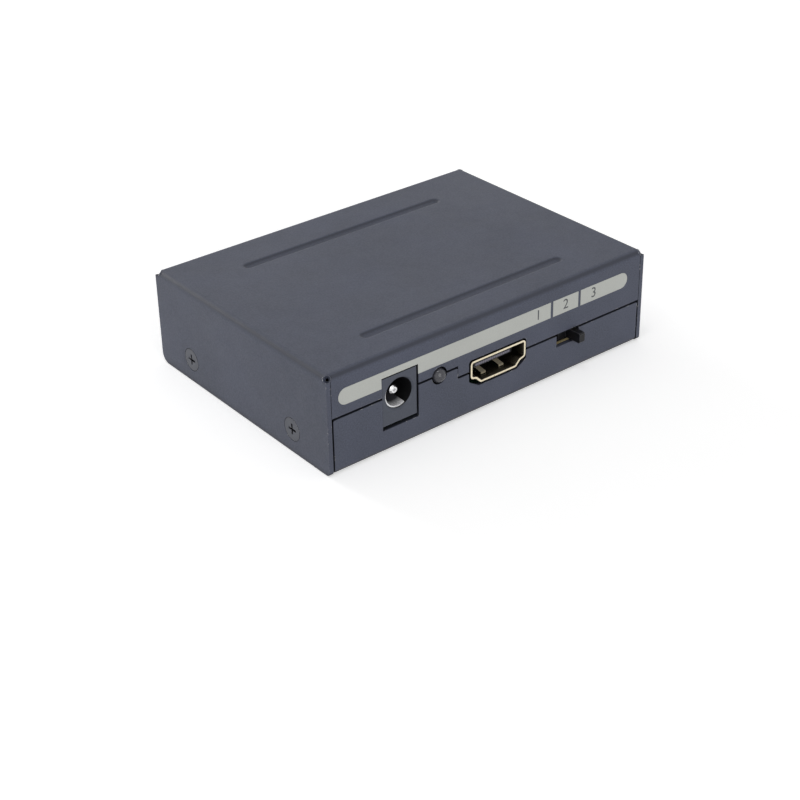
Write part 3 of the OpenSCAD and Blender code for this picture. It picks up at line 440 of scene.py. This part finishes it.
def place_group(tree, name, **values):
    """Places a shader group with its values, and builds the group on its first use."""
    if name not in bpy.data.node_groups:
        GROUPS[name](name)
    node = tree.nodes.new("ShaderNodeGroup")
    node.node_tree = bpy.data.node_groups[name]
    for label, value in values.items():
        node.inputs[label.replace("_", " ").title()].default_value = value
    return node.outputs


# Finishes


def darken_hollow(tree, hollow_shade, tone):
    """Mixes painted shade into a tone where a point sees little of the sky. Ambient Occlusion has to be in
    the material, so no group.
    """
    sky = tree.nodes.new("ShaderNodeAmbientOcclusion")
    sky.samples = HOLLOW_SAMPLES
    sky.inputs["Distance"].default_value = hollow_shade.reach
    seen = span(tree, sky.outputs["AO"], hollow_shade.full, hollow_shade.none)
    if hollow_shade.own_lean:
        normal = axes(tree, tree.nodes.new("ShaderNodeNewGeometry").outputs["True Normal"])
        lean = maths(tree, "ABSOLUTE", normal["Y"])
        own = span(tree, lean, hollow_shade.own_lean, hollow_shade.own_lean * OWN_LEAN_SPREAD)
        seen = maths(tree, "MAXIMUM", seen, own)
    return mix_colour(tree, seen, hollow_shade.colour, tone)


def finish(
    name,
    base,
    deep,
    rough,
    grain,
    height,
    wear=None,
    hollow_shade=None,
    bore_shade=None,
    fold_shade=None,
    metallic=0.0,
    smear=20.0 * MM,
    **shader,
):
    """A whole finish: tone from the grain, roughness from handling, grain as bump, worn edges.

    base and deep are colours, rough is a pair of roughnesses, and grain, height and smear are lengths.
    wear, hollow_shade and bore_shade are a Wear, a HollowShade and a BoreShade, or None: painted shade in
    gaps and recesses, and painted shade deep in an opening.
    fold_shade is the painted shade's colour where the sheet is bent, or None. Other arguments set the
    shader's own sockets.
    """
    material = bpy.data.materials.new(name)
    material.use_nodes = True
    tree = material.node_tree
    shade = tree.nodes["Principled BSDF"]
    shade.inputs["Metallic"].default_value = metallic
    grains = place_group(tree, "Surface grain", grain_size=grain)
    handled = place_group(tree, "Handling", smear_size=smear)
    tree.links.new(span(tree, handled["Mask"], 0.0, 1.0, *rough), shade.inputs["Roughness"])
    tone = mix_colour(tree, grains["Tone"], deep, base)
    # Painted shade where the sheet is bent
    if fold_shade:
        flat = place_group(tree, "Sheet fold", bent=FOLD_BENT, flat=FOLD_FLAT)
        tone = mix_colour(tree, flat["Mask"], fold_shade, tone)
    # Painted shade deep in an opening, by place along Y
    if bore_shade:
        inner = place_group(tree, "Bore depth", start=bore_shade.start, end=bore_shade.end)
        tone = mix_colour(tree, inner["Mask"], tone, bore_shade.colour)
    # Painted shade in gaps and recesses, by how little sky a point sees
    if hollow_shade:
        tone = darken_hollow(tree, hollow_shade, tone)
    if wear:
        worn = place_group(
            tree, "Edge wear", width=wear.width, patch_size=wear.patch_size, amount=wear.amount
        )
        tone = mix_colour(tree, worn["Mask"], tone, wear.colour)
        if wear.metallic != metallic:
            shine = span(tree, worn["Mask"], 0.0, 1.0, metallic, wear.metallic)
            tree.links.new(shine, shade.inputs["Metallic"])
    tree.links.new(tone, shade.inputs["Base Color"])
    bump = tree.nodes.new("ShaderNodeBump")
    bump.inputs["Strength"].default_value = 1.0
    bump.inputs["Distance"].default_value = height
    tree.links.new(grains["Height"], bump.inputs["Height"])
    tree.links.new(bump.outputs["Normal"], shade.inputs["Normal"])
    for label, value in shader.items():
        shade.inputs[label.replace("_", " ").title().replace("Ior", "IOR")].default_value = value
    return material


def clear_lens():
    """Clear epoxy of the lamps, with a slight cloudiness in its roughness."""
    material = bpy.data.materials.new("clear epoxy")
    material.use_nodes = True
    tree = material.node_tree
    shade = tree.nodes["Principled BSDF"]
    shade.inputs["Transmission Weight"].default_value = 0.3
    shade.inputs["IOR"].default_value = 1.5
    cloud = place_group(tree, "Handling", smear_size=4.0 * MM)
    tree.links.new(span(tree, cloud["Mask"], 0.0, 1.0, 0.10, 0.15), shade.inputs["Roughness"])
    tone = mix_colour(tree, cloud["Mask"], rgb(0.050, 0.050, 0.062), rgb(0.075, 0.075, 0.090))
    tree.links.new(tone, shade.inputs["Base Color"])
    return material


def seen_rays(tree):
    """1 for the rays that show a backdrop: from the camera, mirrored or through glass."""
    path = tree.nodes.new("ShaderNodeLightPath")
    both = maths(tree, "MAXIMUM", path.outputs["Is Camera Ray"], path.outputs["Is Glossy Ray"])
    return maths(tree, "MAXIMUM", both, path.outputs["Is Transmission Ray"])


def floor_material(glow):
    """White paper floor that keeps the object's shadow."""
    material = bpy.data.materials.new("floor paper")
    material.use_nodes = True
    tree = material.node_tree
    shade = tree.nodes["Principled BSDF"]
    tone = mix_colour(tree, noise(tree, 40.0, 3.0), rgb(0.90, 0.90, 0.90), rgb(0.93, 0.93, 0.93))
    tree.links.new(tone, shade.inputs["Base Color"])
    shade.inputs["Roughness"].default_value = 0.9
    shade.inputs["Emission Color"].default_value = rgb(1.0, 1.0, 1.0)
    tree.links.new(maths(tree, "MULTIPLY", seen_rays(tree), glow), shade.inputs["Emission Strength"])
    return material


def sky_world(strength):
    """Even white surroundings: full white where they are seen, softer as light."""
    world = bpy.data.worlds.new("white surroundings")
    world.use_nodes = True
    tree = world.node_tree
    back = tree.nodes["Background"]
    back.inputs["Color"].default_value = rgb(1.0, 1.0, 1.0)
    tree.links.new(span(tree, seen_rays(tree), 0.0, 1.0, strength, 1.0), back.inputs["Strength"])
    return world


def dress(material, *nodes):
    """Puts a material into every slot of the named CAD nodes."""
    for name in nodes:
        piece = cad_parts.get(name)
        if piece is None:
            raise RuntimeError(f"the packed model has no piece named {name}")
        for place in piece.material_slots:
            place.material = material


# New pieces


def new_piece(name, bm, material, body="case", smooth=None):
    """Turns a bmesh into a finished piece at the origin that rides on a body."""
    mesh = bpy.data.meshes.new(name)
    bmesh.ops.recalc_face_normals(bm, faces=bm.faces[:])
    if smooth is not None:
        for face in bm.faces:
            face.smooth = True
        for edge in bm.edges:
            edge.smooth = len(edge.link_faces) == 2 and edge.calc_face_angle(0.0) < smooth
    bm.to_mesh(mesh)
    bm.free()
    mesh.materials.append(material)
    piece = bpy.data.objects.new(name, mesh)
    bpy.context.scene.collection.objects.link(piece)
    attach(piece, body)


def rectangle(left, right, low, high):
    """The four corners of a field, from its lower left one round."""
    return [(left, low), (right, low), (right, high), (left, high)]


def printed_plate(name, corners, round_at, radius, plane, outward, ink, material):
    """A printed field: an outline on a panel, some corners rounded, raised by the ink's thickness."""
    bm = bmesh.new()
    verts = [bm.verts.new((x, plane, z)) for x, z in corners]
    bm.faces.new(verts)
    rounded = [verts[i] for i in round_at]
    if rounded:
        bmesh.ops.bevel(
            bm,
            geom=rounded,
            offset=radius,
            offset_type="OFFSET",
            segments=ROUND_SEGMENTS,
            profile=0.5,
            affect="VERTICES",
            material=-1,
        )
    raised = bmesh.ops.extrude_face_region(bm, geom=bm.faces[:])
    moved = [item for item in raised["geom"] if isinstance(item, bmesh.types.BMVert)]
    bmesh.ops.translate(bm, verts=moved, vec=(0.0, outward * ink, 0.0))
    bmesh.ops.remove_doubles(bm, verts=bm.verts[:], dist=MERGE)
    new_piece(name, bm, material)


class CONVERTER_OT_stage(bpy.types.Operator):
    """Makes the floor, the lamps, the soft light and the camera"""

    bl_idname = "converter.stage"
    bl_label = "Set the Stage"

    def execute(self, context):
        _, _, stage = settings()
        scene = context.scene
        scene.view_settings.view_transform = "Standard"
        bm = bmesh.new()
        bmesh.ops.create_grid(bm, x_segments=1, y_segments=1, size=FLOOR_REACH)
        bmesh.ops.translate(bm, verts=bm.verts[:], vec=(0.0, 0.0, -FLOOR_DROP))
        mesh = bpy.data.meshes.new("floor")
        bm.to_mesh(mesh)
        bm.free()
        floor = bpy.data.objects.new("floor", mesh)
        scene.collection.objects.link(floor)
        mesh.materials.append(floor_material(stage.floor_glow))
        for row in LAMPS:
            data = bpy.data.lights.new(row.name, "AREA")
            data.size = row.size
            data.energy = row.energy
            lamp = bpy.data.objects.new(row.name, data)
            lamp.location = row.place
            lamp.rotation_euler = (LAMP_TARGET - Vector(row.place)).to_track_quat("-Z", "Y").to_euler()
            scene.collection.objects.link(lamp)
        scene.world = sky_world(stage.sky)
        data = bpy.data.cameras.new("camera")
        data.sensor_width = SENSOR_WIDTH
        data.lens = stage.lens
        data.shift_x = stage.shift_x
        data.shift_y = stage.shift_y
        data.clip_start = CLIP_NEAR
        data.clip_end = CLIP_FAR
        camera = bpy.data.objects.new("camera", data)
        camera.location = stage.eye
        aim = (
            Matrix.Rotation(stage.turn, 4, "Z")
            @ Matrix.Rotation(math.pi / 2 - stage.dip, 4, "X")
            @ Matrix.Rotation(stage.roll, 4, "Z")
        )
        camera.rotation_euler = aim.to_euler()
        scene.collection.objects.link(camera)
        scene.camera = camera
        return {"FINISHED"}


class CONVERTER_OT_coat_case(bpy.types.Operator):
    """Gives the cover, the tray and their screws a powder coat"""

    bl_idname = "converter.coat_case"
    bl_label = "Coat the Case"

    def execute(self, context):
        coat, _, _ = settings()
        for name, node, worn in (
            ("powder coat, cover", "top_cover", 0.36),
            ("powder coat, tray", "bottom_tray", 0.40),
        ):
            # The coat gets painted shade in its gaps and on its bends
            sheet = finish(
                name, coat.coat, coat.coat_dark,
                rough=(0.50, 0.58), grain=coat.grain, height=coat.grain_height, smear=30.0 * MM,
                wear=Wear(0.3 * MM, 1.3 * MM, worn, coat.bare_metal, 1.0), hollow_shade=GAP_PAINTED_SHADE,
                fold_shade=darker(coat.coat, FOLD_SHADE), specular_ior_level=0.38,
            )
            dress(sheet, node)
        # The screw gets painted shade in its recess and round its head
        screw = finish(
            "coated screw", rgb(0.062, 0.068, 0.090), rgb(0.044, 0.048, 0.062),
            rough=(0.36, 0.46), grain=0.2 * MM, height=5.0 * MICRON, smear=3.0 * MM,
            wear=Wear(0.15 * MM, 0.8 * MM, 0.5, rgb(0.30, 0.30, 0.32), 1.0), hollow_shade=SCREW_PAINTED_SHADE,
        )
        dress(screw, "case_screws")
        return {"FINISHED"}


class CONVERTER_OT_finish_sockets(bpy.types.Operator):
    """Gives the sockets, the switch and the lamps their plastics and platings"""

    bl_idname = "converter.finish_sockets"
    bl_label = "Finish the Sockets"

    def execute(self, context):
        grey = rgb(0.070, 0.078, 0.102)
        grey_deep = rgb(0.056, 0.062, 0.082)
        grey_wear = Wear(0.1 * MM, 1.0 * MM, 0.35, rgb(0.12, 0.13, 0.16))
        # The jack gets painted shade in its gaps and deep in its opening
        jack = finish(
            "jack grey moulding", grey, grey_deep,
            rough=(0.46, 0.56), grain=0.4 * MM, height=6.0 * MICRON,
            wear=grey_wear, hollow_shade=GAP_PAINTED_SHADE, bore_shade=JACK_PAINTED_SHADE, specular_ior_level=0.35,
        )
        dress(jack, "dc_jack_body")
        optical = finish(
            "optical grey moulding", grey, grey_deep,
            rough=(0.50, 0.60), grain=0.4 * MM, height=6.0 * MICRON,
            wear=grey_wear, specular_ior_level=0.35,
        )
        dress(optical, "optical_housing", "optical_door")
        nickel = finish(
            "bright nickel", rgb(0.80, 0.80, 0.81), rgb(0.70, 0.70, 0.71),
            rough=(0.10, 0.20), grain=0.6 * MM, height=1.0 * MICRON, smear=4.0 * MM, metallic=1.0,
        )
        dress(nickel, "dc_jack_pin", "crystal")
        # The leaf gets painted shade deeper inside the jack
        leaf = finish(
            "sprung nickel leaf", rgb(0.96, 0.96, 0.98), rgb(0.84, 0.84, 0.86),
            rough=(0.24, 0.34), grain=0.5 * MM, height=2.0 * MICRON, smear=2.0 * MM, metallic=0.35,
            bore_shade=LEAF_PAINTED_SHADE,
        )
        dress(leaf, "dc_jack_contact")
        tin = finish(
            "tinned", rgb(0.62, 0.62, 0.61), rgb(0.48, 0.48, 0.47),
            rough=(0.28, 0.42), grain=0.3 * MM, height=3.0 * MICRON, smear=3.0 * MM, metallic=1.0,
        )
        dress(tin, "dc_jack_terminals", "power_led_leads", "status_led_leads")
        # The shell gets painted shade inside, except on faces that look along Y
        shell = finish(
            "pale gold plating", rgb(0.88, 0.79, 0.60), rgb(0.78, 0.68, 0.48),
            rough=(0.26, 0.38), grain=0.5 * MM, height=2.0 * MICRON, smear=4.0 * MM, metallic=0.7,
            wear=Wear(0.12 * MM, 1.0 * MM, 0.5, rgb(0.96, 0.91, 0.78), 0.7), hollow_shade=SOCKET_PAINTED_SHADE,
        )
        dress(shell, "hdmi_in_shell", "hdmi_out_shell")
        insert = finish(
            "socket black moulding", rgb(0.012, 0.012, 0.014), rgb(0.007, 0.007, 0.008),
            rough=(0.40, 0.52), grain=0.4 * MM, height=5.0 * MICRON,
            wear=Wear(0.1 * MM, 1.0 * MM, 0.4, rgb(0.05, 0.05, 0.055)), specular_ior_level=0.3,
        )
        dress(insert, "hdmi_in_insert", "hdmi_out_insert")
        barrel = finish(
            "barrel black moulding", rgb(0.030, 0.032, 0.038), rgb(0.020, 0.021, 0.026),
            rough=(0.36, 0.48), grain=0.4 * MM, height=5.0 * MICRON,
            wear=Wear(0.1 * MM, 1.0 * MM, 0.4, rgb(0.07, 0.07, 0.08)), specular_ior_level=0.35,
        )
        dress(barrel, "rca_housing")
        contact = finish(
            "contact plating", rgb(0.70, 0.67, 0.76), rgb(0.58, 0.55, 0.64),
            rough=(0.24, 0.36), grain=0.4 * MM, height=2.0 * MICRON, smear=2.0 * MM, metallic=0.2,
        )
        dress(contact, "hdmi_in_contacts", "hdmi_out_contacts")
        plating = finish(
            "switch plating", rgb(0.74, 0.62, 0.34), rgb(0.58, 0.47, 0.24),
            rough=(0.28, 0.42), grain=0.4 * MM, height=3.0 * MICRON, smear=3.0 * MM, metallic=0.45,
            wear=Wear(0.12 * MM, 0.8 * MM, 0.5, rgb(0.86, 0.78, 0.58), 0.6),
        )
        dress(plating, "switch_frame")
        phenolic = finish(
            "phenolic board", rgb(0.23, 0.12, 0.05), rgb(0.16, 0.08, 0.03),
            rough=(0.55, 0.70), grain=0.3 * MM, height=6.0 * MICRON,
        )
        dress(phenolic, "switch_base")
        knob = finish(
            "knob black", rgb(0.007, 0.007, 0.009), rgb(0.004, 0.004, 0.005),
            rough=(0.34, 0.44), grain=0.3 * MM, height=5.0 * MICRON,
            wear=Wear(0.22 * MM, 1.0 * MM, 0.75, rgb(0.09, 0.095, 0.11)), specular_ior_level=0.25,
        )
        dress(knob, "switch_knob")
        resin = finish(
            "tinted resin", rgb(0.14, 0.012, 0.025), rgb(0.09, 0.006, 0.014),
            rough=(0.08, 0.16), grain=0.8 * MM, height=2.0 * MICRON,
        )
        dress(resin, "optical_emitter")
        for name, node, base, deep in (
            ("red insert", "rca_insert_right", rgb(0.62, 0.030, 0.030), rgb(0.52, 0.018, 0.020)),
            ("white insert", "rca_insert_left", rgb(0.82, 0.81, 0.77), rgb(0.72, 0.71, 0.66)),
        ):
            plastic = finish(
                name, base, deep,
                rough=(0.26, 0.36), grain=0.5 * MM, height=3.0 * MICRON, smear=4.0 * MM,
                subsurface_weight=0.1, subsurface_scale=0.6 * MM,
            )
            dress(plastic, node)
        brass = finish(
            "plain brass", rgb(0.72, 0.56, 0.29), rgb(0.52, 0.38, 0.17),
            rough=(0.25, 0.38), grain=0.4 * MM, height=2.0 * MICRON, smear=3.0 * MM, metallic=1.0,
        )
        dress(brass, "rca_contacts")
        ring = finish(
            "satin nickel", rgb(0.70, 0.70, 0.70), rgb(0.60, 0.60, 0.60),
            rough=(0.26, 0.36), grain=0.3 * MM, height=2.0 * MICRON, smear=4.0 * MM, metallic=1.0,
        )
        dress(ring, "rca_ring_right", "rca_ring_left")
        dress(clear_lens(), "power_led", "status_led")
        return {"FINISHED"}


class CONVERTER_OT_finish_inside(bpy.types.Operator):
    """Gives the board and what stands on it their finishes"""

    bl_idname = "converter.finish_inside"
    bl_label = "Finish the Board"

    def execute(self, context):
        zinc = finish(
            "zinc plating", rgb(0.62, 0.62, 0.60), rgb(0.48, 0.48, 0.46),
            rough=(0.26, 0.40), grain=0.4 * MM, height=3.0 * MICRON, smear=3.0 * MM, metallic=1.0,
        )
        dress(zinc, "standoffs", "board_screws", "optical_door_pin")
        mask = finish(
            "solder mask", rgb(0.008, 0.038, 0.020), rgb(0.005, 0.026, 0.014),
            rough=(0.16, 0.28), grain=0.6 * MM, height=4.0 * MICRON, smear=10.0 * MM,
        )
        dress(mask, "main_board")
        epoxy = finish(
            "chip epoxy", rgb(0.018, 0.018, 0.020), rgb(0.010, 0.010, 0.011),
            rough=(0.50, 0.65), grain=0.2 * MM, height=4.0 * MICRON,
        )
        dress(epoxy, "video_chip", "audio_chip", "regulator")
        ferrite = finish(
            "sintered ferrite", rgb(0.065, 0.065, 0.070), rgb(0.040, 0.040, 0.044),
            rough=(0.6, 0.75), grain=0.2 * MM, height=8.0 * MICRON,
        )
        dress(ferrite, "inductor")
        can = finish(
            "can aluminium", rgb(0.74, 0.74, 0.76), rgb(0.62, 0.62, 0.64),
            rough=(0.22, 0.34), grain=0.4 * MM, height=2.0 * MICRON, smear=4.0 * MM, metallic=1.0,
        )
        dress(can, "capacitors")
        return {"FINISHED"}


class CONVERTER_OT_print_strips(bpy.types.Operator):
    """Prints the pale strips on both panels, with a cut round the power socket and two gaps at the switch"""

    bl_idname = "converter.print_strips"
    bl_label = "Print the Strips"

    def execute(self, context):
        coat, sizes, _ = settings()
        ink = finish(
            "strip ink", tuple(coat.strip), darker(coat.strip, 0.9),
            rough=(0.42, 0.52), grain=coat.grain, height=coat.grain_height, smear=12.0 * MM,
        )
        low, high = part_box("dc_jack_body")
        left = low.x - sizes.socket_gap + sizes.socket_shift
        right = high.x + sizes.socket_gap + sizes.socket_shift
        top = high.z + sizes.socket_gap
        half = sizes.gap / 2
        in_low = sizes.in_low
        in_high = sizes.in_high
        radius = (in_high - in_low) / 2 * ROUND_SHARE
        notched = [
            (sizes.in_left, in_low),
            (left, in_low),
            (left, top),
            (right, top),
            (right, in_low),
            (sizes.gap_1 - half, in_low),
            (sizes.gap_1 - half, in_high),
            (sizes.in_left, in_high),
        ]
        middle = rectangle(sizes.gap_1 + half, sizes.gap_2 - half, in_low, in_high)
        last = rectangle(sizes.gap_2 + half, sizes.in_right, in_low, in_high)
        for name, corners, round_at in (
            ("input_strip_long", notched, (0, 7)),
            ("input_strip_middle", middle, ()),
            ("input_strip_right", last, (1, 2)),
        ):
            printed_plate(name, corners, round_at, radius, PANEL_IN_Y, -1.0, sizes.ink, ink)
        corners = rectangle(sizes.out_left, sizes.out_right, sizes.out_low, sizes.out_high)
        radius = (sizes.out_high - sizes.out_low) / 2 * ROUND_SHARE
        printed_plate("output_strip", corners, (0, 1, 2, 3), radius, PANEL_OUT_Y, 1.0, sizes.ink, ink)
        return {"FINISHED"}


class CONVERTER_OT_print_numbers(bpy.types.Operator):
    """Prints the plain numbers 1 to 3 on the switch's three fields"""

    bl_idname = "converter.print_numbers"
    bl_label = "Print the Numbers"

    def execute(self, context):
        coat, sizes, _ = settings()
        ink = finish(
            "number ink", tuple(coat.numbers), darker(coat.numbers, 0.8),
            rough=(0.45, 0.55), grain=coat.grain, height=coat.grain_height, smear=10.0 * MM,
        )
        middle = (sizes.in_low + sizes.in_high) / 2
        for text, x in (
            ("1", sizes.gap_1 - sizes.number_1),
            ("2", (sizes.gap_1 + sizes.gap_2) / 2),
            ("3", sizes.gap_2 + sizes.number_3),
        ):
            curve = bpy.data.curves.new("switch_number_" + text, "FONT")
            curve.body = text
            curve.size = sizes.number_size
            curve.align_x = "CENTER"
            curve.align_y = "CENTER"
            curve.extrude = sizes.ink * NUMBER_RELIEF
            holder = bpy.data.objects.new("number_" + text, curve)
            context.scene.collection.objects.link(holder)
            context.view_layer.update()
            flat = holder.evaluated_get(context.evaluated_depsgraph_get())
            mesh = bpy.data.meshes.new_from_object(flat)
            bpy.data.objects.remove(holder)
            bm = bmesh.new()
            bm.from_mesh(mesh)
            bpy.data.meshes.remove(mesh)
            bmesh.ops.remove_doubles(bm, verts=bm.verts[:], dist=MERGE)
            place = Matrix.Translation((x, PANEL_IN_Y - sizes.ink, middle))
            upright = Matrix.Rotation(math.pi / 2, 4, "X")
            bmesh.ops.transform(bm, matrix=place @ upright, verts=bm.verts[:])
            new_piece("switch_number_" + text, bm, ink)
        return {"FINISHED"}


class CONVERTER_OT_lamp_cores(bpy.types.Operator):
    """Makes the little cup and post of each lead frame, seen through the clear lamps"""

    bl_idname = "converter.lamp_cores"
    bl_label = "Make the Lamp Cores"

    def execute(self, context):
        metal = finish(
            "lead frame silver", rgb(0.55, 0.55, 0.54), rgb(0.38, 0.38, 0.37),
            rough=(0.22, 0.34), grain=0.3 * MM, height=2.0 * MICRON, smear=1.0 * MM, metallic=1.0,
        )
        for name, sign in (("power_led", -1.0), ("status_led", 1.0)):
            low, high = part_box(name)
            x = (low.x + high.x) / 2
            z = (low.z + high.z) / 2
            tip = low.y if sign < 0 else high.y
            outwards = Matrix.Rotation(-sign * math.pi / 2, 4, "X")
            for part in CORE_PIECES:
                bm = bmesh.new()
                bmesh.ops.create_cone(
                    bm,
                    cap_ends=True,
                    segments=CORE_SEGMENTS,
                    radius1=part.radius * CORE_FOOT,
                    radius2=part.radius,
                    depth=part.depth,
                )
                if part.name == "cup":
                    top = [face for face in bm.faces if face.normal.z > 0.9]
                    bmesh.ops.inset_region(bm, faces=top, thickness=CUP_RIM, depth=0.0)
                    top = [face for face in bm.faces if face.normal.z > 0.9 and len(face.verts) > 4]
                    bmesh.ops.inset_region(bm, faces=top, thickness=CUP_WALL, depth=-CUP_DEPTH)
                place = Matrix.Translation((x + part.side, tip - sign * part.reach, z))
                bmesh.ops.transform(bm, matrix=place @ outwards, verts=bm.verts[:])
                new_piece(f"{name}_{part.name}", bm, metal, smooth=math.radians(40))
        return {"FINISHED"}


class CONVERTER_OT_contact_tips(bpy.types.Operator):
    """Makes the row of contact tips that shows on the front of each video socket's tongue"""

    bl_idname = "converter.contact_tips"
    bl_label = "Make the Contact Tips"

    def execute(self, context):
        metal = finish(
            "contact tip", rgb(0.24, 0.23, 0.28), rgb(0.18, 0.17, 0.21),
            rough=(0.40, 0.52), grain=0.3 * MM, height=2.0 * MICRON, smear=2.0 * MM, metallic=0.1,
        )
        for side, sign in (("in", -1.0), ("out", 1.0)):
            low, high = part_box(f"hdmi_{side}_contacts")
            front_low, front_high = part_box(f"hdmi_{side}_insert")
            front = front_low.y if sign < 0 else front_high.y
            count = round((high.x - low.x) / TIP_PITCH)
            bm = bmesh.new()
            for place in range(count):
                x = (low.x + high.x) / 2 + (place - (count - 1) / 2) * TIP_PITCH
                made = bmesh.ops.create_cube(bm, size=1.0)["verts"]
                bmesh.ops.scale(bm, vec=(TIP_WIDTH, TIP_THICKNESS, TIP_HEIGHT), verts=made)
                middle = (x, front + sign * TIP_THICKNESS / 2, high.z - TIP_DROP - TIP_HEIGHT / 2)
                bmesh.ops.translate(bm, vec=middle, verts=made)
            new_piece(f"video_{side}_tips", bm, metal)
        return {"FINISHED"}


class CONVERTER_OT_corner_reliefs(bpy.types.Operator):
    """Lines the round relief in each top corner with its drawn-in rim"""

    bl_idname = "converter.corner_reliefs"
    bl_label = "Line the Corner Reliefs"

    def execute(self, context):
        coat, _, _ = settings()
        rim = finish(
            "relief rim", coat.coat, coat.coat_dark,
            rough=(0.30, 0.42), grain=coat.grain, height=coat.grain_height / 2, smear=2.0 * MM,
            wear=Wear(0.4 * MM, 0.6 * MM, 0.53, coat.bare_metal, 1.0),
        )
        low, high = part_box("top_cover")
        corners = [(x, y) for x in (low.x, high.x) for y in (low.y, high.y)]
        for count, (x, y) in enumerate(corners, 1):
            inward = Vector((-math.copysign(1.0, x), 1.0 if y == low.y else -1.0, -1.0)).normalized()
            bm = bmesh.new()
            section = [
                bm.verts.new((radius * MM, 0.0, height * MM)) for radius, height in RELIEF_SECTION
            ]
            following = section[1:] + section[:1]
            edges = [bm.edges.new(pair) for pair in zip(section, following)]
            bmesh.ops.spin(
                bm,
                geom=section + edges,
                cent=(0, 0, 0),
                axis=(0, 0, 1),
                angle=2 * math.pi,
                steps=RELIEF_STEPS,
                use_merge=True,
                use_duplicate=False,
            )
            bmesh.ops.remove_doubles(bm, verts=bm.verts[:], dist=MERGE)
            place = Matrix.Translation(Vector((x, y, high.z)) + inward * RELIEF_DEPTH)
            turn = inward.to_track_quat("Z", "Y").to_matrix().to_4x4()
            bmesh.ops.transform(bm, matrix=place @ turn, verts=bm.verts[:])
            new_piece(f"corner_relief_{count}", bm, rim, smooth=math.radians(35))
        return {"FINISHED"}


class CONVERTER_PT_panel(bpy.types.Panel):
    """Sidebar panel with the box's settings and steps"""

    bl_idname = "CONVERTER_PT_panel"
    bl_label = "Converter Box"
    bl_space_type = "VIEW_3D"
    bl_region_type = "UI"
    bl_category = "Converter Box"

    def draw(self, context):
        for group_settings in settings():
            box = self.layout.box()
            for label in group_settings.__annotations__:
                box.prop(group_settings, label)
        for step in STEPS:
            self.layout.operator(step.bl_idname)


STEPS = (
    CONVERTER_OT_stage,
    CONVERTER_OT_coat_case,
    CONVERTER_OT_finish_sockets,
    CONVERTER_OT_finish_inside,
    CONVERTER_OT_print_strips,
    CONVERTER_OT_print_numbers,
    CONVERTER_OT_lamp_cores,
    CONVERTER_OT_contact_tips,
    CONVERTER_OT_corner_reliefs,
)
CLASSES = (ConverterBoxCoat, ConverterBoxPrint, ConverterBoxStage) + STEPS + (CONVERTER_PT_panel,)


def register():
    """Registers the classes and adds their settings to the scene."""
    for item in CLASSES:
        bpy.utils.register_class(item)
    bpy.types.Scene.converter_coat = PointerProperty(type=ConverterBoxCoat)
    bpy.types.Scene.converter_print = PointerProperty(type=ConverterBoxPrint)
    bpy.types.Scene.converter_stage = PointerProperty(type=ConverterBoxStage)


def unregister():
    """Takes back what register did."""
    del bpy.types.Scene.converter_stage
    del bpy.types.Scene.converter_print
    del bpy.types.Scene.converter_coat
    for item in reversed(CLASSES):
        bpy.utils.unregister_class(item)


def main():
    """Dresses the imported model."""
    register()
    bpy.ops.converter.stage()
    bpy.ops.converter.coat_case()
    bpy.ops.converter.finish_sockets()
    bpy.ops.converter.finish_inside()
    bpy.ops.converter.print_strips()
    bpy.ops.converter.print_numbers()
    bpy.ops.converter.lamp_cores()
    bpy.ops.converter.contact_tips()
    bpy.ops.converter.corner_reliefs()
    bpy.context.view_layer.update()


if __name__ == "__main__":
    main()
